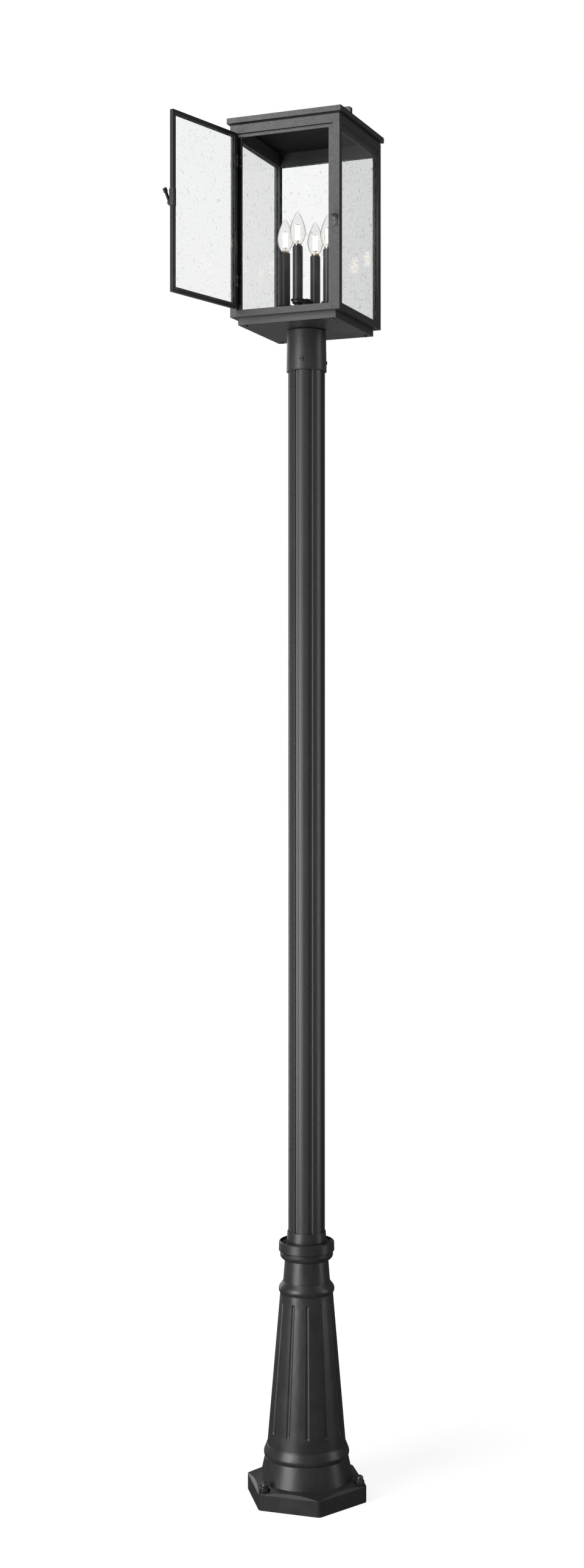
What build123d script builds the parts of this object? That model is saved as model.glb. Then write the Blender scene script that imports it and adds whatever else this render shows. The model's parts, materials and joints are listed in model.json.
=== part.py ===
"""Post top lantern: a four-candle square lantern head on a fluted post and a flared base."""
from build123d import *
import os
from math import cos, radians, sin, sqrt

os.makedirs("parts", exist_ok=True)

# ---------------------------------------------------------------- driving dimensions, mm
# The origin is on the post's axis at the ground. X runs right along the door side,
# Y runs back from the door, Z is up.

thread_fit = 0.05  # radial clearance of a screw in its thread and of a pin in its knuckle
slip_fit = 0.4  # radial clearance between the post and the castings that it slides into
glass_fit = 0.3  # clearance of a pane in its groove, each side

# base casting
base_turn = 4.0  # the base stands turned by this angle on the post, degrees
plate_radius = 130.0  # corner radius of the six-sided foot
plate_round = 9.0  # rounding of its upright corners
plate_edge = 32.0  # height of the foot at a corner
plate_bevel = 7.0
plate_wall = 6.0
cone_foot_radius = 96.0  # where the lower cone meets the foot
crown_rise = 8.5  # how much the foot's top rises from its corners to the lower cone
base_height = 507.0  # top of the base casting, under the post collar
capital_height = 17.5  # then, downwards: capital, neck, upper bead, fluted cone
capital_flare = 9.7
neck_length = 44.5
neck_top_radius = 45.2
neck_low_radius = 48.6
neck_flare = 1.6
upper_bead_height = 24.0
upper_bead_proud = 3.1
cone_top_radius = 54.8
cone_low_radius = 80.9
lower_bead_height = 27.5
lower_bead_proud = 7.4
lower_cone_height = 44.0
cone_wall = 6.0
anchor_circle_radius = 115.0
anchor_hole_radius = 6.0
anchor_count = 3
anchor_boss_radius = 14.0
flute_count = 12
flute_turn = 19.3  # from a corner of the foot, degrees
flute_low_margin = 30.0
flute_high_margin = 18.0
ledge_rise = 9.0  # from the top of the fluted cone to the ledge that the post stands on
ledge_thickness = 7.0
ledge_bore_radius = 31.0

# anchor nuts and washers
washer_radius = 10.0
washer_thickness = 2.0
nut_flats = 17.0
nut_hex_height = 9.0
nut_dome_radius = 7.6
nut_dome_height = 10.5
nut_bore_radius = 5.0
nut_bore_depth = 13.0

# post collar
collar_radius = 57.7
collar_skirt = 21.0
collar_recess = 4.0
collar_rim = 3.6
collar_cup_height = 20.0
collar_cup_radius = 41.4
collar_cup_lip = 39.9
collar_screw_circle = 47.8
collar_screw_count = 3

# post
post_radius = 38.1  # a 3 inch lamp post
post_wall = 2.4
post_flutes = 8
post_flute_turn = -10.0  # degrees from the door side's normal grid
post_flute_depth = 2.6
post_flute_opening = 11.6
post_flute_floor = 7.0
post_flute_round = 0.8

# lantern body, heights from the body's underside
body_height_above_ground = 2424.0
body_half = 119.5
tube = 14.7  # width of the corner posts
sill_height = 14.0
header_bottom = 373.0
header_height = 17.5
glass_offset = 7.5  # from the outer face to the middle of a pane
glass_thickness = 3.0
glass_groove = 4.3
rail_drop = 10.0  # height of the rails under the header
rail_setback = 1.0
stop_width = 10.4
stop_setback = 4.0
stop_thickness = 3.0
sheet = 2.0
lip_width = 6.0

# pan under the body
pan_inset = 12.0  # from the body's faces
pan_depth = 14.4
pan_screw_inset = 10.3  # from the corner posts' inner faces
pan_boss_radius = 4.0
pan_boss_height = 6.0

# fitter
fitter_length = 85.6
fitter_top_radius = 40.1
fitter_mouth_radius = 41.5
fitter_cap = 4.0
fitter_screw_count = 3
fitter_screw_turn = -82.0
fitter_screw_height = 21.0  # above the fitter's mouth

# roof
roof_overhang = 5.7
roof_gap = 3.2
roof_height = 11.1
gasket_inset = 1.3
gasket_width = 8.0
ceiling_inset = 13.0
ceiling_thickness = 1.5
roof_screw_inset = 7.8  # from the corner posts' inner faces
tab_size = 15.0
roof_boss_radius = 4.5
handle_inset = 20.0  # from the body's faces
handle_bar = 10.0
handle_rise = 33.7

# door, drawn on the pin's axis; lengths run from the pin
door_open = 104.0  # opening angle of the door as the lantern stands, degrees
pin_radius = 1.2
knuckle_radius = 2.2
pin_side = 0.9  # pin axis beyond the corner post's inner face
pin_proud = 2.7  # pin axis in front of the corner posts
leaf_thickness = 1.0
leaf_gap = 0.2
leaf_width = 10.0
leaf_height = 25.0
hinge_spacing = 244.0
hinge_screw_spacing = 16.0
door_edge_gap = 2.7  # from the pin's axis to the door's hinge edge
door_free_gap = 2.8
door_end_gap = 1.2
door_thickness = 8.0
door_leg = 9.0
bead_width = 4.5
bead_thickness = 2.2

# latch
latch_pivot_height = 191.0
latch_lean = 32.0  # angle of the raised lever from upright, degrees
latch_reach = 30.0
latch_head_width = 10.0
latch_head_length = 9.0
latch_stem_width = 6.0
latch_boss_radius = 5.0
latch_thickness = 3.0
latch_standoff = 1.8
clip_thickness = 1.2
clip_width = 9.0
clip_low = 183.0
clip_high = 217.0
keeper_inset = 9.5  # from the body's right face to the keeper's middle
keeper_width = 9.6
keeper_height = 23.0
keeper_thickness = 1.5
keeper_lip = 4.0
keeper_screw_spacing = 10.0

# candle cluster
candle_radius = 48.0
candle_count = 4
sleeve_radius = 10.4
sleeve_wall = 1.2
sleeve_bottom = 42.0
sleeve_height = 108.0
hub_radius = 19.0
hub_wall = 4.0
hub_floor_thickness = 4.0
hub_height = 32.0
hub_cap_height = 16.0
arm_height = 18.0  # above the floor plate
arm_radius = 4.0
arm_wall = 1.2
stem_radius = 7.0
drip_radius = 14.0
nipple_radius = 5.0
nipple_bore = 3.5
support_radius = 4.9
holder_radius = 8.6
holder_height = 49.0
bulb_radius = 16.2
bulb_height = 72.0
bulb_wall = 0.8
base_shell_radius = 6.0
base_collar_radius = 8.2
filament_circle = 4.0
filament_radius = 0.9
filament_length = 30.0

# screws: shank radius, head radius, head height
small_shank = 1.5
small_head = 2.8
small_head_height = 1.4
leaf_shank = 1.1
leaf_head = 2.0
screw_shank = 2.0
screw_head = 3.8
screw_head_height = 2.4

# ---------------------------------------------------------------- derived heights, mm

neck_top = base_height - capital_height
neck_low = neck_top - neck_length
cone_high = neck_low - upper_bead_height
ledge_height = cone_high + ledge_rise
crown_top = plate_edge + crown_rise
bead_low = crown_top + lower_cone_height
cone_low = bead_low + lower_bead_height
flute_low = cone_low + flute_low_margin
flute_high = cone_high - flute_high_margin
body = body_height_above_ground
inner = body_half - tube
pan_half = body_half - pan_inset
pan_screw_offset = inner - pan_screw_inset
roof_half = body_half + roof_overhang
gasket_half = body_half - gasket_inset
ceiling_half = body_half - ceiling_inset
roof_screw_offset = inner - roof_screw_inset
handle_half = body_half - handle_inset
header_low = body + header_bottom
header_top = header_low + header_height
fascia_low = header_top + roof_gap
roof_top = fascia_low + roof_height
pan_low = body - pan_depth
fitter_low = pan_low - fitter_length
post_top = pan_low - fitter_cap  # the post's end bears on the fitter's cap
floor_low = body + sheet
floor_top = floor_low + sheet
sill_top = body + sill_height
glass_mid = body_half - glass_offset
glass_low = sill_top - glass_groove + glass_fit
glass_top = header_low - rail_drop + glass_groove - glass_fit
collar_top = base_height + collar_skirt
cup_top = collar_top + collar_cup_height
corner_signs = ((1, 1), (-1, 1), (-1, -1), (1, -1))
stop_front = -body_half + stop_setback
stop_back = stop_front + stop_thickness
post_screw_at = inner + tube - 4.6

# door: the pin's axis, then depths from it, measured back into the lantern with the door shut
pin_x = -inner + pin_side
pin_y = -body_half - pin_proud
pin_point = Vector(pin_x, pin_y, 0)
door_x_dir = Vector(1, 0, 0).rotate(Axis.Z, -door_open)
door_y_dir = Vector(0, 1, 0).rotate(Axis.Z, -door_open)
door_low = sill_top + door_end_gap
door_high = header_low - door_end_gap
door_height = door_high - door_low
door_mid = (door_low + door_high) / 2
inside_face = stop_front - 2 * leaf_thickness - leaf_gap - pin_y
outside_face = inside_face - door_thickness
door_width = 2 * inner - pin_side - door_edge_gap - door_free_gap
free_edge = door_edge_gap + door_width
stile_lip = door_thickness - bead_thickness - glass_thickness - glass_fit
hinge_heights = (door_mid - hinge_spacing / 2, door_mid + hinge_spacing / 2)
hinge_screw_heights = [z + side * hinge_screw_spacing / 2 for z in hinge_heights for side in (-1, 1)]
fixed_screw_x = -inner + 0.6 * leaf_width

# latch: the lever hangs on the door's free stile and drops onto the keeper's shelf
latch_along = free_edge - door_leg / 2
latch_height = body + latch_pivot_height
lever_back = clip_thickness + latch_standoff
pivot_bore = screw_shank + thread_fit
shelf_top = latch_height - latch_stem_width / 2 - 0.3
lip_inside = pin_y + outside_face - lever_back - latch_thickness - 0.4
keeper_x = body_half - keeper_inset
keeper_screw_heights = (shelf_top - 7.7, shelf_top - 7.7 - keeper_screw_spacing)

# candle cluster
candle_angles = [-90 + k * 360 / candle_count for k in range(candle_count)]
hub_floor = floor_top + hub_floor_thickness
hub_top = floor_top + hub_height
arm_level = floor_top + arm_height
arm_end = candle_radius - 3.5
sleeve_low = body + sleeve_bottom
sleeve_top = sleeve_low + sleeve_height
bulb_seat = sleeve_top  # the glass stands level with the sleeve's rim
holder_top = sleeve_top - 5.0
holder_low = holder_top - holder_height


def block(x_low, x_high, y_low, y_high, z_low, z_high, mode=Mode.ADD):
    """Add a block to the open part, or cut one from it, between the given planes."""
    with BuildSketch(Plane.XY.offset(z_low)) as outline:
        with Locations(((x_low + x_high) / 2, (y_low + y_high) / 2)):
            Rectangle(x_high - x_low, y_high - y_low)
    extrude(outline.sketch, amount=z_high - z_low, mode=mode)


def rod(plane, radius, length, mode=Mode.ADD):
    """Add a round bar that starts on a plane, or bore its hole."""
    with BuildSketch(plane) as outline:
        Circle(radius)
    extrude(outline.sketch, amount=length, mode=mode)


def square_ring(half, width, z_low, height, mode=Mode.ADD):
    """Add a square ring of a given outer half width and wall width."""
    with BuildSketch(Plane.XY.offset(z_low)) as outline:
        Rectangle(2 * half, 2 * half)
        Rectangle(2 * (half - width), 2 * (half - width), mode=Mode.SUBTRACT)
    extrude(outline.sketch, amount=height, mode=mode)


def screw(plane, shank_radius, shank_length, head_radius, head_height, socket_radius=1.1):
    """Add a round-headed screw whose head sits on the plane and whose shank runs below it."""
    rod(plane, head_radius, head_height)
    rod(plane, shank_radius, -shank_length)
    with BuildSketch(plane.offset(head_height)) as socket:
        RegularPolygon(socket_radius, 6)
    extrude(socket.sketch, amount=-0.6 * head_height, mode=Mode.SUBTRACT)


def countersink(plane, shank_radius, head_radius, gap=0.0, mode=Mode.ADD):
    """Add a flush conical head below a plane, or cut its seat with a little clearance."""
    top, tip = head_radius + gap, shank_radius + gap
    with Locations(plane):
        Cone(tip, top, head_radius - shank_radius, align=(Align.CENTER, Align.CENTER, Align.MAX), mode=mode)


def write(part, name):
    """Label a finished piece and write it to its own file."""
    part.label = name
    export_step(part, f"parts/{name}.step")


def turned(angle, radius, height):
    """Plane whose origin lies on a circle about Z, with its X axis pointing outwards."""
    spot = (radius * cos(radians(angle)), radius * sin(radians(angle)), height)
    return Plane(origin=spot, x_dir=(cos(radians(angle)), sin(radians(angle)), 0), z_dir=(0, 0, 1))


def outward(angle, radius, height):
    """Plane on a circle about Z that faces away from the axis."""
    facing = (cos(radians(angle)), sin(radians(angle)), 0)
    return Plane(origin=(radius * facing[0], radius * facing[1], height), x_dir=(0, 0, 1), z_dir=facing)


# ---------------------------------------------------------------- base casting

anchor_angles = [base_turn + k * 360 / anchor_count for k in range(anchor_count)]
seat_height = plate_edge + 0.14 * crown_rise  # spot face under each anchor washer


def bead_point(out, up):
    """Point of the lower bead, as shares of how proud and how high it is."""
    return (cone_low_radius + out * lower_bead_proud, bead_low + up * lower_bead_height)


def ring_point(out, up):
    """Point of the upper bead, as shares of how proud and how high it is."""
    return (cone_top_radius + out * upper_bead_proud, cone_high + up * upper_bead_height)


def capital_point(out, up):
    """Point of the capital, as shares of its flare and height."""
    return (neck_top_radius + out * capital_flare, neck_top + up * capital_height)



with BuildPart() as six_sided_foot:
    with BuildSketch():
        RegularPolygon(plate_radius, 6, rotation=base_turn)
    extrude(amount=crown_top)
    fillet(six_sided_foot.edges().filter_by(Axis.Z), plate_round)
    chamfer(six_sided_foot.faces().sort_by(Axis.Z)[-1].edges(), crown_top - plate_edge)

with BuildPart() as crown:
    with BuildSketch(Plane.XZ):
        with BuildLine():
            Polyline(
                (0, 0),
                (1.03 * plate_radius, 0),
                (1.03 * plate_radius, plate_edge - 0.12 * crown_rise),
                (cone_foot_radius, crown_top),
                (0, crown_top),
                close=True,
            )
        make_face()
    revolve()

root = crown_top - 0.5 * crown_rise  # the turned body starts inside the foot
with BuildPart() as base_casting:
    add(six_sided_foot.part)
    add(crown.part, mode=Mode.INTERSECT)
    with BuildSketch(Plane.XZ):
        with BuildLine():
            Polyline(
                (0, root),
                (cone_foot_radius + 0.1 * crown_rise, root),
                bead_point(0.72, 0),
                bead_point(0.64, 0.02),
            )
            ThreePointArc(bead_point(0.64, 0.02), bead_point(1, 0.29), bead_point(0.77, 0.545))
            Polyline(
                bead_point(0.77, 0.545),
                bead_point(0.26, 0.913),
                bead_point(0.15, 0.942),
                bead_point(0.09, 1),
                (cone_low_radius, cone_low),
                (cone_top_radius, cone_high),
                ring_point(0.2, 0.025),
            )
            ThreePointArc(ring_point(0.2, 0.025), ring_point(1, 0.354), ring_point(0.13, 0.667))
            Polyline(
                ring_point(0.13, 0.667),
                (neck_low_radius + neck_flare, cone_high + 0.925 * upper_bead_height),
                (neck_low_radius + 0.62 * neck_flare, cone_high + 0.975 * upper_bead_height),
                (neck_low_radius, neck_low),
                (neck_top_radius, neck_top),
                capital_point(0.144, 0),
            )
            ThreePointArc(capital_point(0.144, 0), capital_point(0.763, 0.234), capital_point(1, 0.657))
            Polyline(
                capital_point(1, 0.657),
                capital_point(1, 0.771),
                capital_point(0.876, 0.863),
                capital_point(0.876, 1),
                (0, base_height),
                (0, root),
            )
        make_face()
    revolve()
    # hollow inside, from the ground up to the ledge
    with BuildSketch(Plane.XZ):
        with BuildLine():
            Polyline(
                (0, 0),
                (cone_foot_radius - cone_wall, 0),
                (cone_foot_radius - cone_wall, root),
                (cone_low_radius - cone_wall, cone_low),
                (cone_top_radius - cone_wall, cone_high - 1.35 * cone_wall),
                (ledge_bore_radius, ledge_height - ledge_thickness),
                (0, ledge_height - ledge_thickness),
                close=True,
            )
        make_face()
    revolve(mode=Mode.SUBTRACT)
    ledge_bore = Plane.XY.offset(ledge_height - 2 * ledge_thickness)
    rod(ledge_bore, ledge_bore_radius, 3 * ledge_thickness, Mode.SUBTRACT)
    rod(Plane.XY.offset(ledge_height), post_radius + slip_fit, base_height, Mode.SUBTRACT)
    # pocket under the foot, with a boss left round each anchor hole
    with BuildSketch() as pocket:
        RegularPolygon(plate_radius - plate_wall / cos(radians(30)), 6, rotation=base_turn)
        Circle(cone_foot_radius - cone_wall - 1, mode=Mode.SUBTRACT)
        with PolarLocations(anchor_circle_radius, anchor_count, start_angle=base_turn):
            Circle(anchor_boss_radius, mode=Mode.SUBTRACT)
    extrude(pocket.sketch, amount=plate_edge - plate_wall, mode=Mode.SUBTRACT)
    for angle in anchor_angles:
        rod(turned(angle, anchor_circle_radius, 0), anchor_hole_radius, crown_top, Mode.SUBTRACT)
        rod(turned(angle, anchor_circle_radius, seat_height), washer_radius + 2, crown_top, Mode.SUBTRACT)
    for k in range(collar_screw_count):
        spot = turned(base_turn + 90 + k * 120, collar_screw_circle, base_height - 10)
        rod(spot, screw_shank + thread_fit, 12, Mode.SUBTRACT)

# one shallow flute, cut by a tapered round-ended tool that leans with the cone
cone_lean = (cone_low_radius - cone_top_radius) / (cone_high - cone_low)
flute_low_tool = 6.5
flute_high_tool = 4.7
flute_low_depth = 2.2
flute_high_depth = 1.8


def cone_radius(height):
    """Radius of the fluted cone at a height."""
    return cone_low_radius - cone_lean * (height - cone_low)


low_axis = cone_radius(flute_low) + flute_low_tool - flute_low_depth
high_axis = cone_radius(flute_high) + flute_high_tool - flute_high_depth
tool_length = sqrt((low_axis - high_axis) ** 2 + (flute_high - flute_low) ** 2)
tool_plane = Plane(
    origin=(low_axis, 0, flute_low),
    x_dir=(0, 1, 0),
    z_dir=(high_axis - low_axis, 0, flute_high - flute_low),
)

with BuildPart() as flute_tool:
    with BuildSketch(tool_plane):
        Circle(flute_low_tool)
    with BuildSketch(tool_plane.offset(tool_length)):
        Circle(flute_high_tool)
    loft()
    with Locations(tool_plane):
        Sphere(flute_low_tool)
    with Locations(tool_plane.offset(tool_length)):
        Sphere(flute_high_tool)

with BuildPart() as fluted_base:
    add(base_casting.part)
    with PolarLocations(0, flute_count, start_angle=base_turn + flute_turn):
        add(flute_tool.part, mode=Mode.SUBTRACT)
write(fluted_base.part, "base_casting")

with BuildPart() as anchor_washers:
    for angle in anchor_angles:
        spot = turned(angle, anchor_circle_radius, seat_height)
        rod(spot, washer_radius, washer_thickness)
        rod(spot, nut_bore_radius + 0.4, washer_thickness, Mode.SUBTRACT)
write(anchor_washers.part, "anchor_washers")

nut_low = seat_height + washer_thickness
with BuildPart() as anchor_nuts:
    for angle in anchor_angles:
        spot = turned(angle, anchor_circle_radius, nut_low)
        with BuildSketch(spot):
            RegularPolygon(nut_flats / 2, 6, major_radius=False)
        extrude(amount=nut_hex_height)
        with BuildSketch(spot.offset(nut_hex_height)):
            Circle(nut_dome_radius)
        extrude(amount=nut_dome_height)
    fillet(anchor_nuts.faces().filter_by(Axis.Z).group_by(Axis.Z)[-1].edges(), 0.9 * nut_dome_radius)
    for angle in anchor_angles:
        rod(turned(angle, anchor_circle_radius, nut_low), nut_bore_radius, nut_bore_depth, Mode.SUBTRACT)
write(anchor_nuts.part, "anchor_nuts")

# ---------------------------------------------------------------- post collar and its screws

with BuildPart() as post_collar:
    with BuildSketch(Plane.XZ):
        with BuildLine():
            Polyline(
                (post_radius + slip_fit, base_height),
                (collar_radius - 1.2, base_height),
                (collar_radius, base_height + 1.6),
                (collar_radius - 0.6, collar_top - 2.0),
                (collar_radius - 2.6, collar_top),
                (collar_radius - collar_rim, collar_top),
                (collar_radius - collar_rim, collar_top - collar_recess),
                (collar_cup_radius, collar_top - collar_recess),
                (collar_cup_lip, cup_top - 0.8),
                (collar_cup_lip - 0.5, cup_top),
                (post_radius + slip_fit, cup_top),
                close=True,
            )
        make_face()
    revolve()
    for k in range(collar_screw_count):
        spot = turned(base_turn + 90 + k * 120, collar_screw_circle, base_height)
        rod(spot, screw_shank + 3 * thread_fit, collar_skirt, Mode.SUBTRACT)
write(post_collar.part, "post_collar")

with BuildPart() as collar_screws:
    for k in range(collar_screw_count):
        spot = turned(base_turn + 90 + k * 120, collar_screw_circle, collar_top - collar_recess)
        screw(spot, screw_shank, collar_skirt - collar_recess + 9, screw_head, screw_head_height)
write(collar_screws.part, "collar_screws")

# ---------------------------------------------------------------- fluted post

with BuildPart() as post_shaft:
    with BuildSketch(Plane.XY.offset(ledge_height)) as post_section:
        Circle(post_radius)
        with BuildSketch(mode=Mode.PRIVATE) as groove:
            with BuildLine():
                Polyline(
                    (post_radius + 1, post_flute_opening / 2 + 0.6),
                    (post_radius - post_flute_depth, post_flute_floor / 2),
                    (post_radius - post_flute_depth, -post_flute_floor / 2),
                    (post_radius + 1, -post_flute_opening / 2 - 0.6),
                    close=True,
                )
            make_face()
        with PolarLocations(0, post_flutes, start_angle=post_flute_turn):
            add(groove.sketch, mode=Mode.SUBTRACT)
        fillet(post_section.vertices(), post_flute_round)
    extrude(amount=post_top - ledge_height)
    with BuildSketch(Plane.XY.offset(ledge_height)) as post_bore:
        Circle(post_radius - post_wall)
        with BuildSketch(mode=Mode.PRIVATE) as rib:
            with BuildLine():
                Polyline(
                    (post_radius + 1, post_flute_opening / 2 + post_wall),
                    (post_radius - post_flute_depth - post_wall, post_flute_floor / 2 + post_wall / 2),
                    (post_radius - post_flute_depth - post_wall, -post_flute_floor / 2 - post_wall / 2),
                    (post_radius + 1, -post_flute_opening / 2 - post_wall),
                    close=True,
                )
            make_face()
        with PolarLocations(0, post_flutes, start_angle=post_flute_turn):
            add(rib.sketch, mode=Mode.SUBTRACT)
    extrude(post_bore.sketch, amount=post_top - ledge_height, mode=Mode.SUBTRACT)
write(post_shaft.part, "post_shaft")

# ---------------------------------------------------------------- fitter under the lantern

fitter_screw_angles = [fitter_screw_turn + k * 360 / fitter_screw_count for k in range(fitter_screw_count)]
screw_level = fitter_low + fitter_screw_height
fitter_seat = fitter_mouth_radius - 0.8  # where the set screws' heads bear

with BuildPart() as fitter_collar:
    with BuildSketch(Plane.XZ):
        with BuildLine():
            Polyline(
                (nipple_radius + thread_fit, pan_low - fitter_cap),
                (post_radius + slip_fit, pan_low - fitter_cap),
                (post_radius + slip_fit, fitter_low),
                (fitter_mouth_radius - 0.8, fitter_low),
                (fitter_mouth_radius, fitter_low + 0.8),
                (fitter_top_radius, pan_low - 2.5),
                (fitter_top_radius - 2.5, pan_low),
                (nipple_radius + thread_fit, pan_low),
                close=True,
            )
        make_face()
    revolve()
    for angle in fitter_screw_angles:
        rod(outward(angle, post_radius - 1, screw_level), screw_shank + thread_fit, 8, Mode.SUBTRACT)
        rod(outward(angle, fitter_seat, screw_level), screw_head + 0.3, 4, Mode.SUBTRACT)
write(fitter_collar.part, "fitter_collar")

with BuildPart() as fitter_set_screws:
    for angle in fitter_screw_angles:
        spot = outward(angle, fitter_seat, screw_level)
        screw(spot, screw_shank, fitter_seat - post_radius - 0.1, screw_head - 0.2, 3.0, 1.5)
write(fitter_set_screws.part, "fitter_set_screws")

# ---------------------------------------------------------------- pan, floor and through nipple

with BuildPart() as bottom_pan:
    block(-pan_half, pan_half, -pan_half, pan_half, pan_low, body)
    fillet(bottom_pan.edges().filter_by(Axis.Z), 1.2)
    inside = pan_half - sheet
    block(-inside, inside, -inside, inside, pan_low + sheet, body, Mode.SUBTRACT)
    rod(Plane.XY.offset(pan_low), nipple_radius + thread_fit, sheet, Mode.SUBTRACT)
    for sx, sy in corner_signs:
        spot = Plane(origin=(sx * pan_screw_offset, sy * pan_screw_offset, pan_low))
        rod(spot, screw_shank + 3 * thread_fit, sheet, Mode.SUBTRACT)
write(bottom_pan.part, "bottom_pan")

with BuildPart() as floor_plate:
    block(-inner + 0.2, inner - 0.2, -inner + 0.2, inner - 0.2, floor_low, floor_top)
    rod(Plane.XY.offset(floor_low), nipple_radius + thread_fit, sheet, Mode.SUBTRACT)
    for sx, sy in corner_signs:
        spot = Plane(origin=(sx * pan_screw_offset, sy * pan_screw_offset, floor_low))
        rod(spot, pan_boss_radius, -pan_boss_height)
        rod(spot.offset(-pan_boss_height), screw_shank + thread_fit, pan_boss_height + sheet, Mode.SUBTRACT)
write(floor_plate.part, "floor_plate")

with BuildPart() as pan_screws:
    for sx, sy in corner_signs:
        spot = Plane(origin=(sx * pan_screw_offset, sy * pan_screw_offset, pan_low), z_dir=(0, 0, -1))
        screw(spot, screw_shank, floor_top - pan_low - 0.5, screw_head, screw_head_height)
write(pan_screws.part, "pan_screws")

nipple_low = pan_low - fitter_cap - 5.5
nipple_high = hub_floor + 6.0
with BuildPart() as through_nipple:
    rod(Plane.XY.offset(nipple_low), nipple_radius, nipple_high - nipple_low)
    rod(Plane.XY.offset(nipple_low), nipple_bore, nipple_high - nipple_low, Mode.SUBTRACT)
write(through_nipple.part, "through_nipple")

with BuildPart() as nipple_nuts:
    with BuildSketch(Plane.XY.offset(pan_low - fitter_cap - 4.5)):
        RegularPolygon(8.0, 6, major_radius=False)
        Circle(nipple_radius + thread_fit, mode=Mode.SUBTRACT)
    extrude(amount=4.5)
    with BuildSketch(Plane.XY.offset(hub_floor)):
        RegularPolygon(8.0, 6, major_radius=False)
        Circle(nipple_radius + thread_fit, mode=Mode.SUBTRACT)
    extrude(amount=4.5)
write(nipple_nuts.part, "nipple_nuts")

# ---------------------------------------------------------------- body frame

groove_half = glass_thickness / 2 + glass_fit
back_groove = (glass_mid - groove_half, glass_mid + groove_half)

with BuildPart() as corner_posts:
    for sx, sy in corner_signs:
        x_low, x_high = sorted((sx * inner, sx * body_half))
        y_low, y_high = sorted((sy * inner, sy * body_half))
        block(x_low, x_high, y_low, y_high, body, header_low)
    for sx, sy in corner_signs:
        # groove for the side pane in the face that looks along Y
        y_low, y_high = sorted((sy * inner, sy * (inner + glass_groove)))
        x_mid = sx * glass_mid
        block(x_mid - groove_half, x_mid + groove_half, y_low, y_high, body, header_low, Mode.SUBTRACT)
    for sx in (-1, 1):
        # groove for the back pane in the face that looks along X
        x_low, x_high = sorted((sx * inner, sx * (inner + glass_groove)))
        block(x_low, x_high, *back_groove, body, header_low, Mode.SUBTRACT)
    for sx, sy in corner_signs:
        spot = Plane(origin=(sx * post_screw_at, sy * post_screw_at, header_low - 18))
        rod(spot, small_shank + thread_fit, 18, Mode.SUBTRACT)
    for height in keeper_screw_heights:
        spot = Plane(origin=(keeper_x, -body_half, height), z_dir=(0, -1, 0))
        rod(spot, small_shank + thread_fit, -8, Mode.SUBTRACT)
write(corner_posts.part, "corner_posts")

with BuildPart() as sill_rails:
    for sy in (-1, 1):
        y_low, y_high = sorted((sy * inner, sy * body_half))
        block(-inner, inner, y_low, y_high, body, sill_top)
        y_low, y_high = sorted((sy * inner, sy * (inner - lip_width)))
        block(-inner + lip_width, inner - lip_width, y_low, y_high, body, floor_low)
    for sx in (-1, 1):
        x_low, x_high = sorted((sx * inner, sx * body_half))
        block(x_low, x_high, -inner, inner, body, sill_top)
        x_low, x_high = sorted((sx * inner, sx * (inner - lip_width)))
        lip_end = inner - lip_width - 0.5
        block(x_low, x_high, -lip_end, lip_end, body, floor_low)
        x_low, x_high = sx * glass_mid - groove_half, sx * glass_mid + groove_half
        block(x_low, x_high, -inner, inner, sill_top - glass_groove, sill_top, Mode.SUBTRACT)
    block(-inner, inner, *back_groove, sill_top - glass_groove, sill_top, Mode.SUBTRACT)
write(sill_rails.part, "sill_rails")

rail_low = header_low - rail_drop
with BuildPart() as top_rails:
    block(-inner, inner, inner, body_half - rail_setback, rail_low, header_low)
    for sx in (-1, 1):
        x_low, x_high = sorted((sx * inner, sx * (body_half - rail_setback)))
        block(x_low, x_high, -inner, inner, rail_low, header_low)
        x_low, x_high = sx * glass_mid - groove_half, sx * glass_mid + groove_half
        block(x_low, x_high, -inner, inner, rail_low, rail_low + glass_groove, Mode.SUBTRACT)
    block(-inner, inner, *back_groove, rail_low, rail_low + glass_groove, Mode.SUBTRACT)
write(top_rails.part, "top_rails")

with BuildPart() as door_stops:
    for sx in (-1, 1):
        x_low, x_high = sorted((sx * inner, sx * (inner - stop_width)))
        block(x_low, x_high, stop_front, stop_back, sill_top, header_low)
    block(-inner + stop_width, inner - stop_width, stop_front, stop_back, header_low - 7.5, header_low)
    for height in hinge_screw_heights:
        spot = Plane(origin=(fixed_screw_x, stop_front, height), z_dir=(0, -1, 0))
        rod(spot, leaf_shank + thread_fit, -stop_thickness, Mode.SUBTRACT)
write(door_stops.part, "door_stops")

with BuildPart() as header_frame:
    square_ring(body_half, tube, header_low, header_height)
    square_ring(body_half - sheet, tube - 2 * sheet, header_low + sheet, header_height, Mode.SUBTRACT)
    for sx, sy in corner_signs:
        x_low, x_high = sorted((sx * inner, sx * (inner - tab_size)))
        y_low, y_high = sorted((sy * inner, sy * (inner - tab_size)))
        block(x_low, x_high, y_low, y_high, header_top - sheet, header_top)
    for sx, sy in corner_signs:
        spot = Plane(origin=(sx * roof_screw_offset, sy * roof_screw_offset, header_top - sheet))
        rod(spot, screw_shank + 3 * thread_fit, sheet, Mode.SUBTRACT)
        spot = Plane(origin=(sx * post_screw_at, sy * post_screw_at, header_low))
        rod(spot, small_shank + 3 * thread_fit, sheet, Mode.SUBTRACT)
write(header_frame.part, "header_frame")

with BuildPart() as header_screws:
    for sx, sy in corner_signs:
        spot = Plane(origin=(sx * post_screw_at, sy * post_screw_at, header_low + sheet))
        screw(spot, small_shank, 16, 2.4, small_head_height, 0.8)
write(header_screws.part, "header_screws")

# ---------------------------------------------------------------- glass


def pane(width, plane):
    """Add a flat pane that stands on its lower edge; the plane's X runs along it."""
    with BuildSketch(plane) as outline:
        Rectangle(width, glass_thickness)
    extrude(outline.sketch, amount=glass_top - glass_low)


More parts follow.
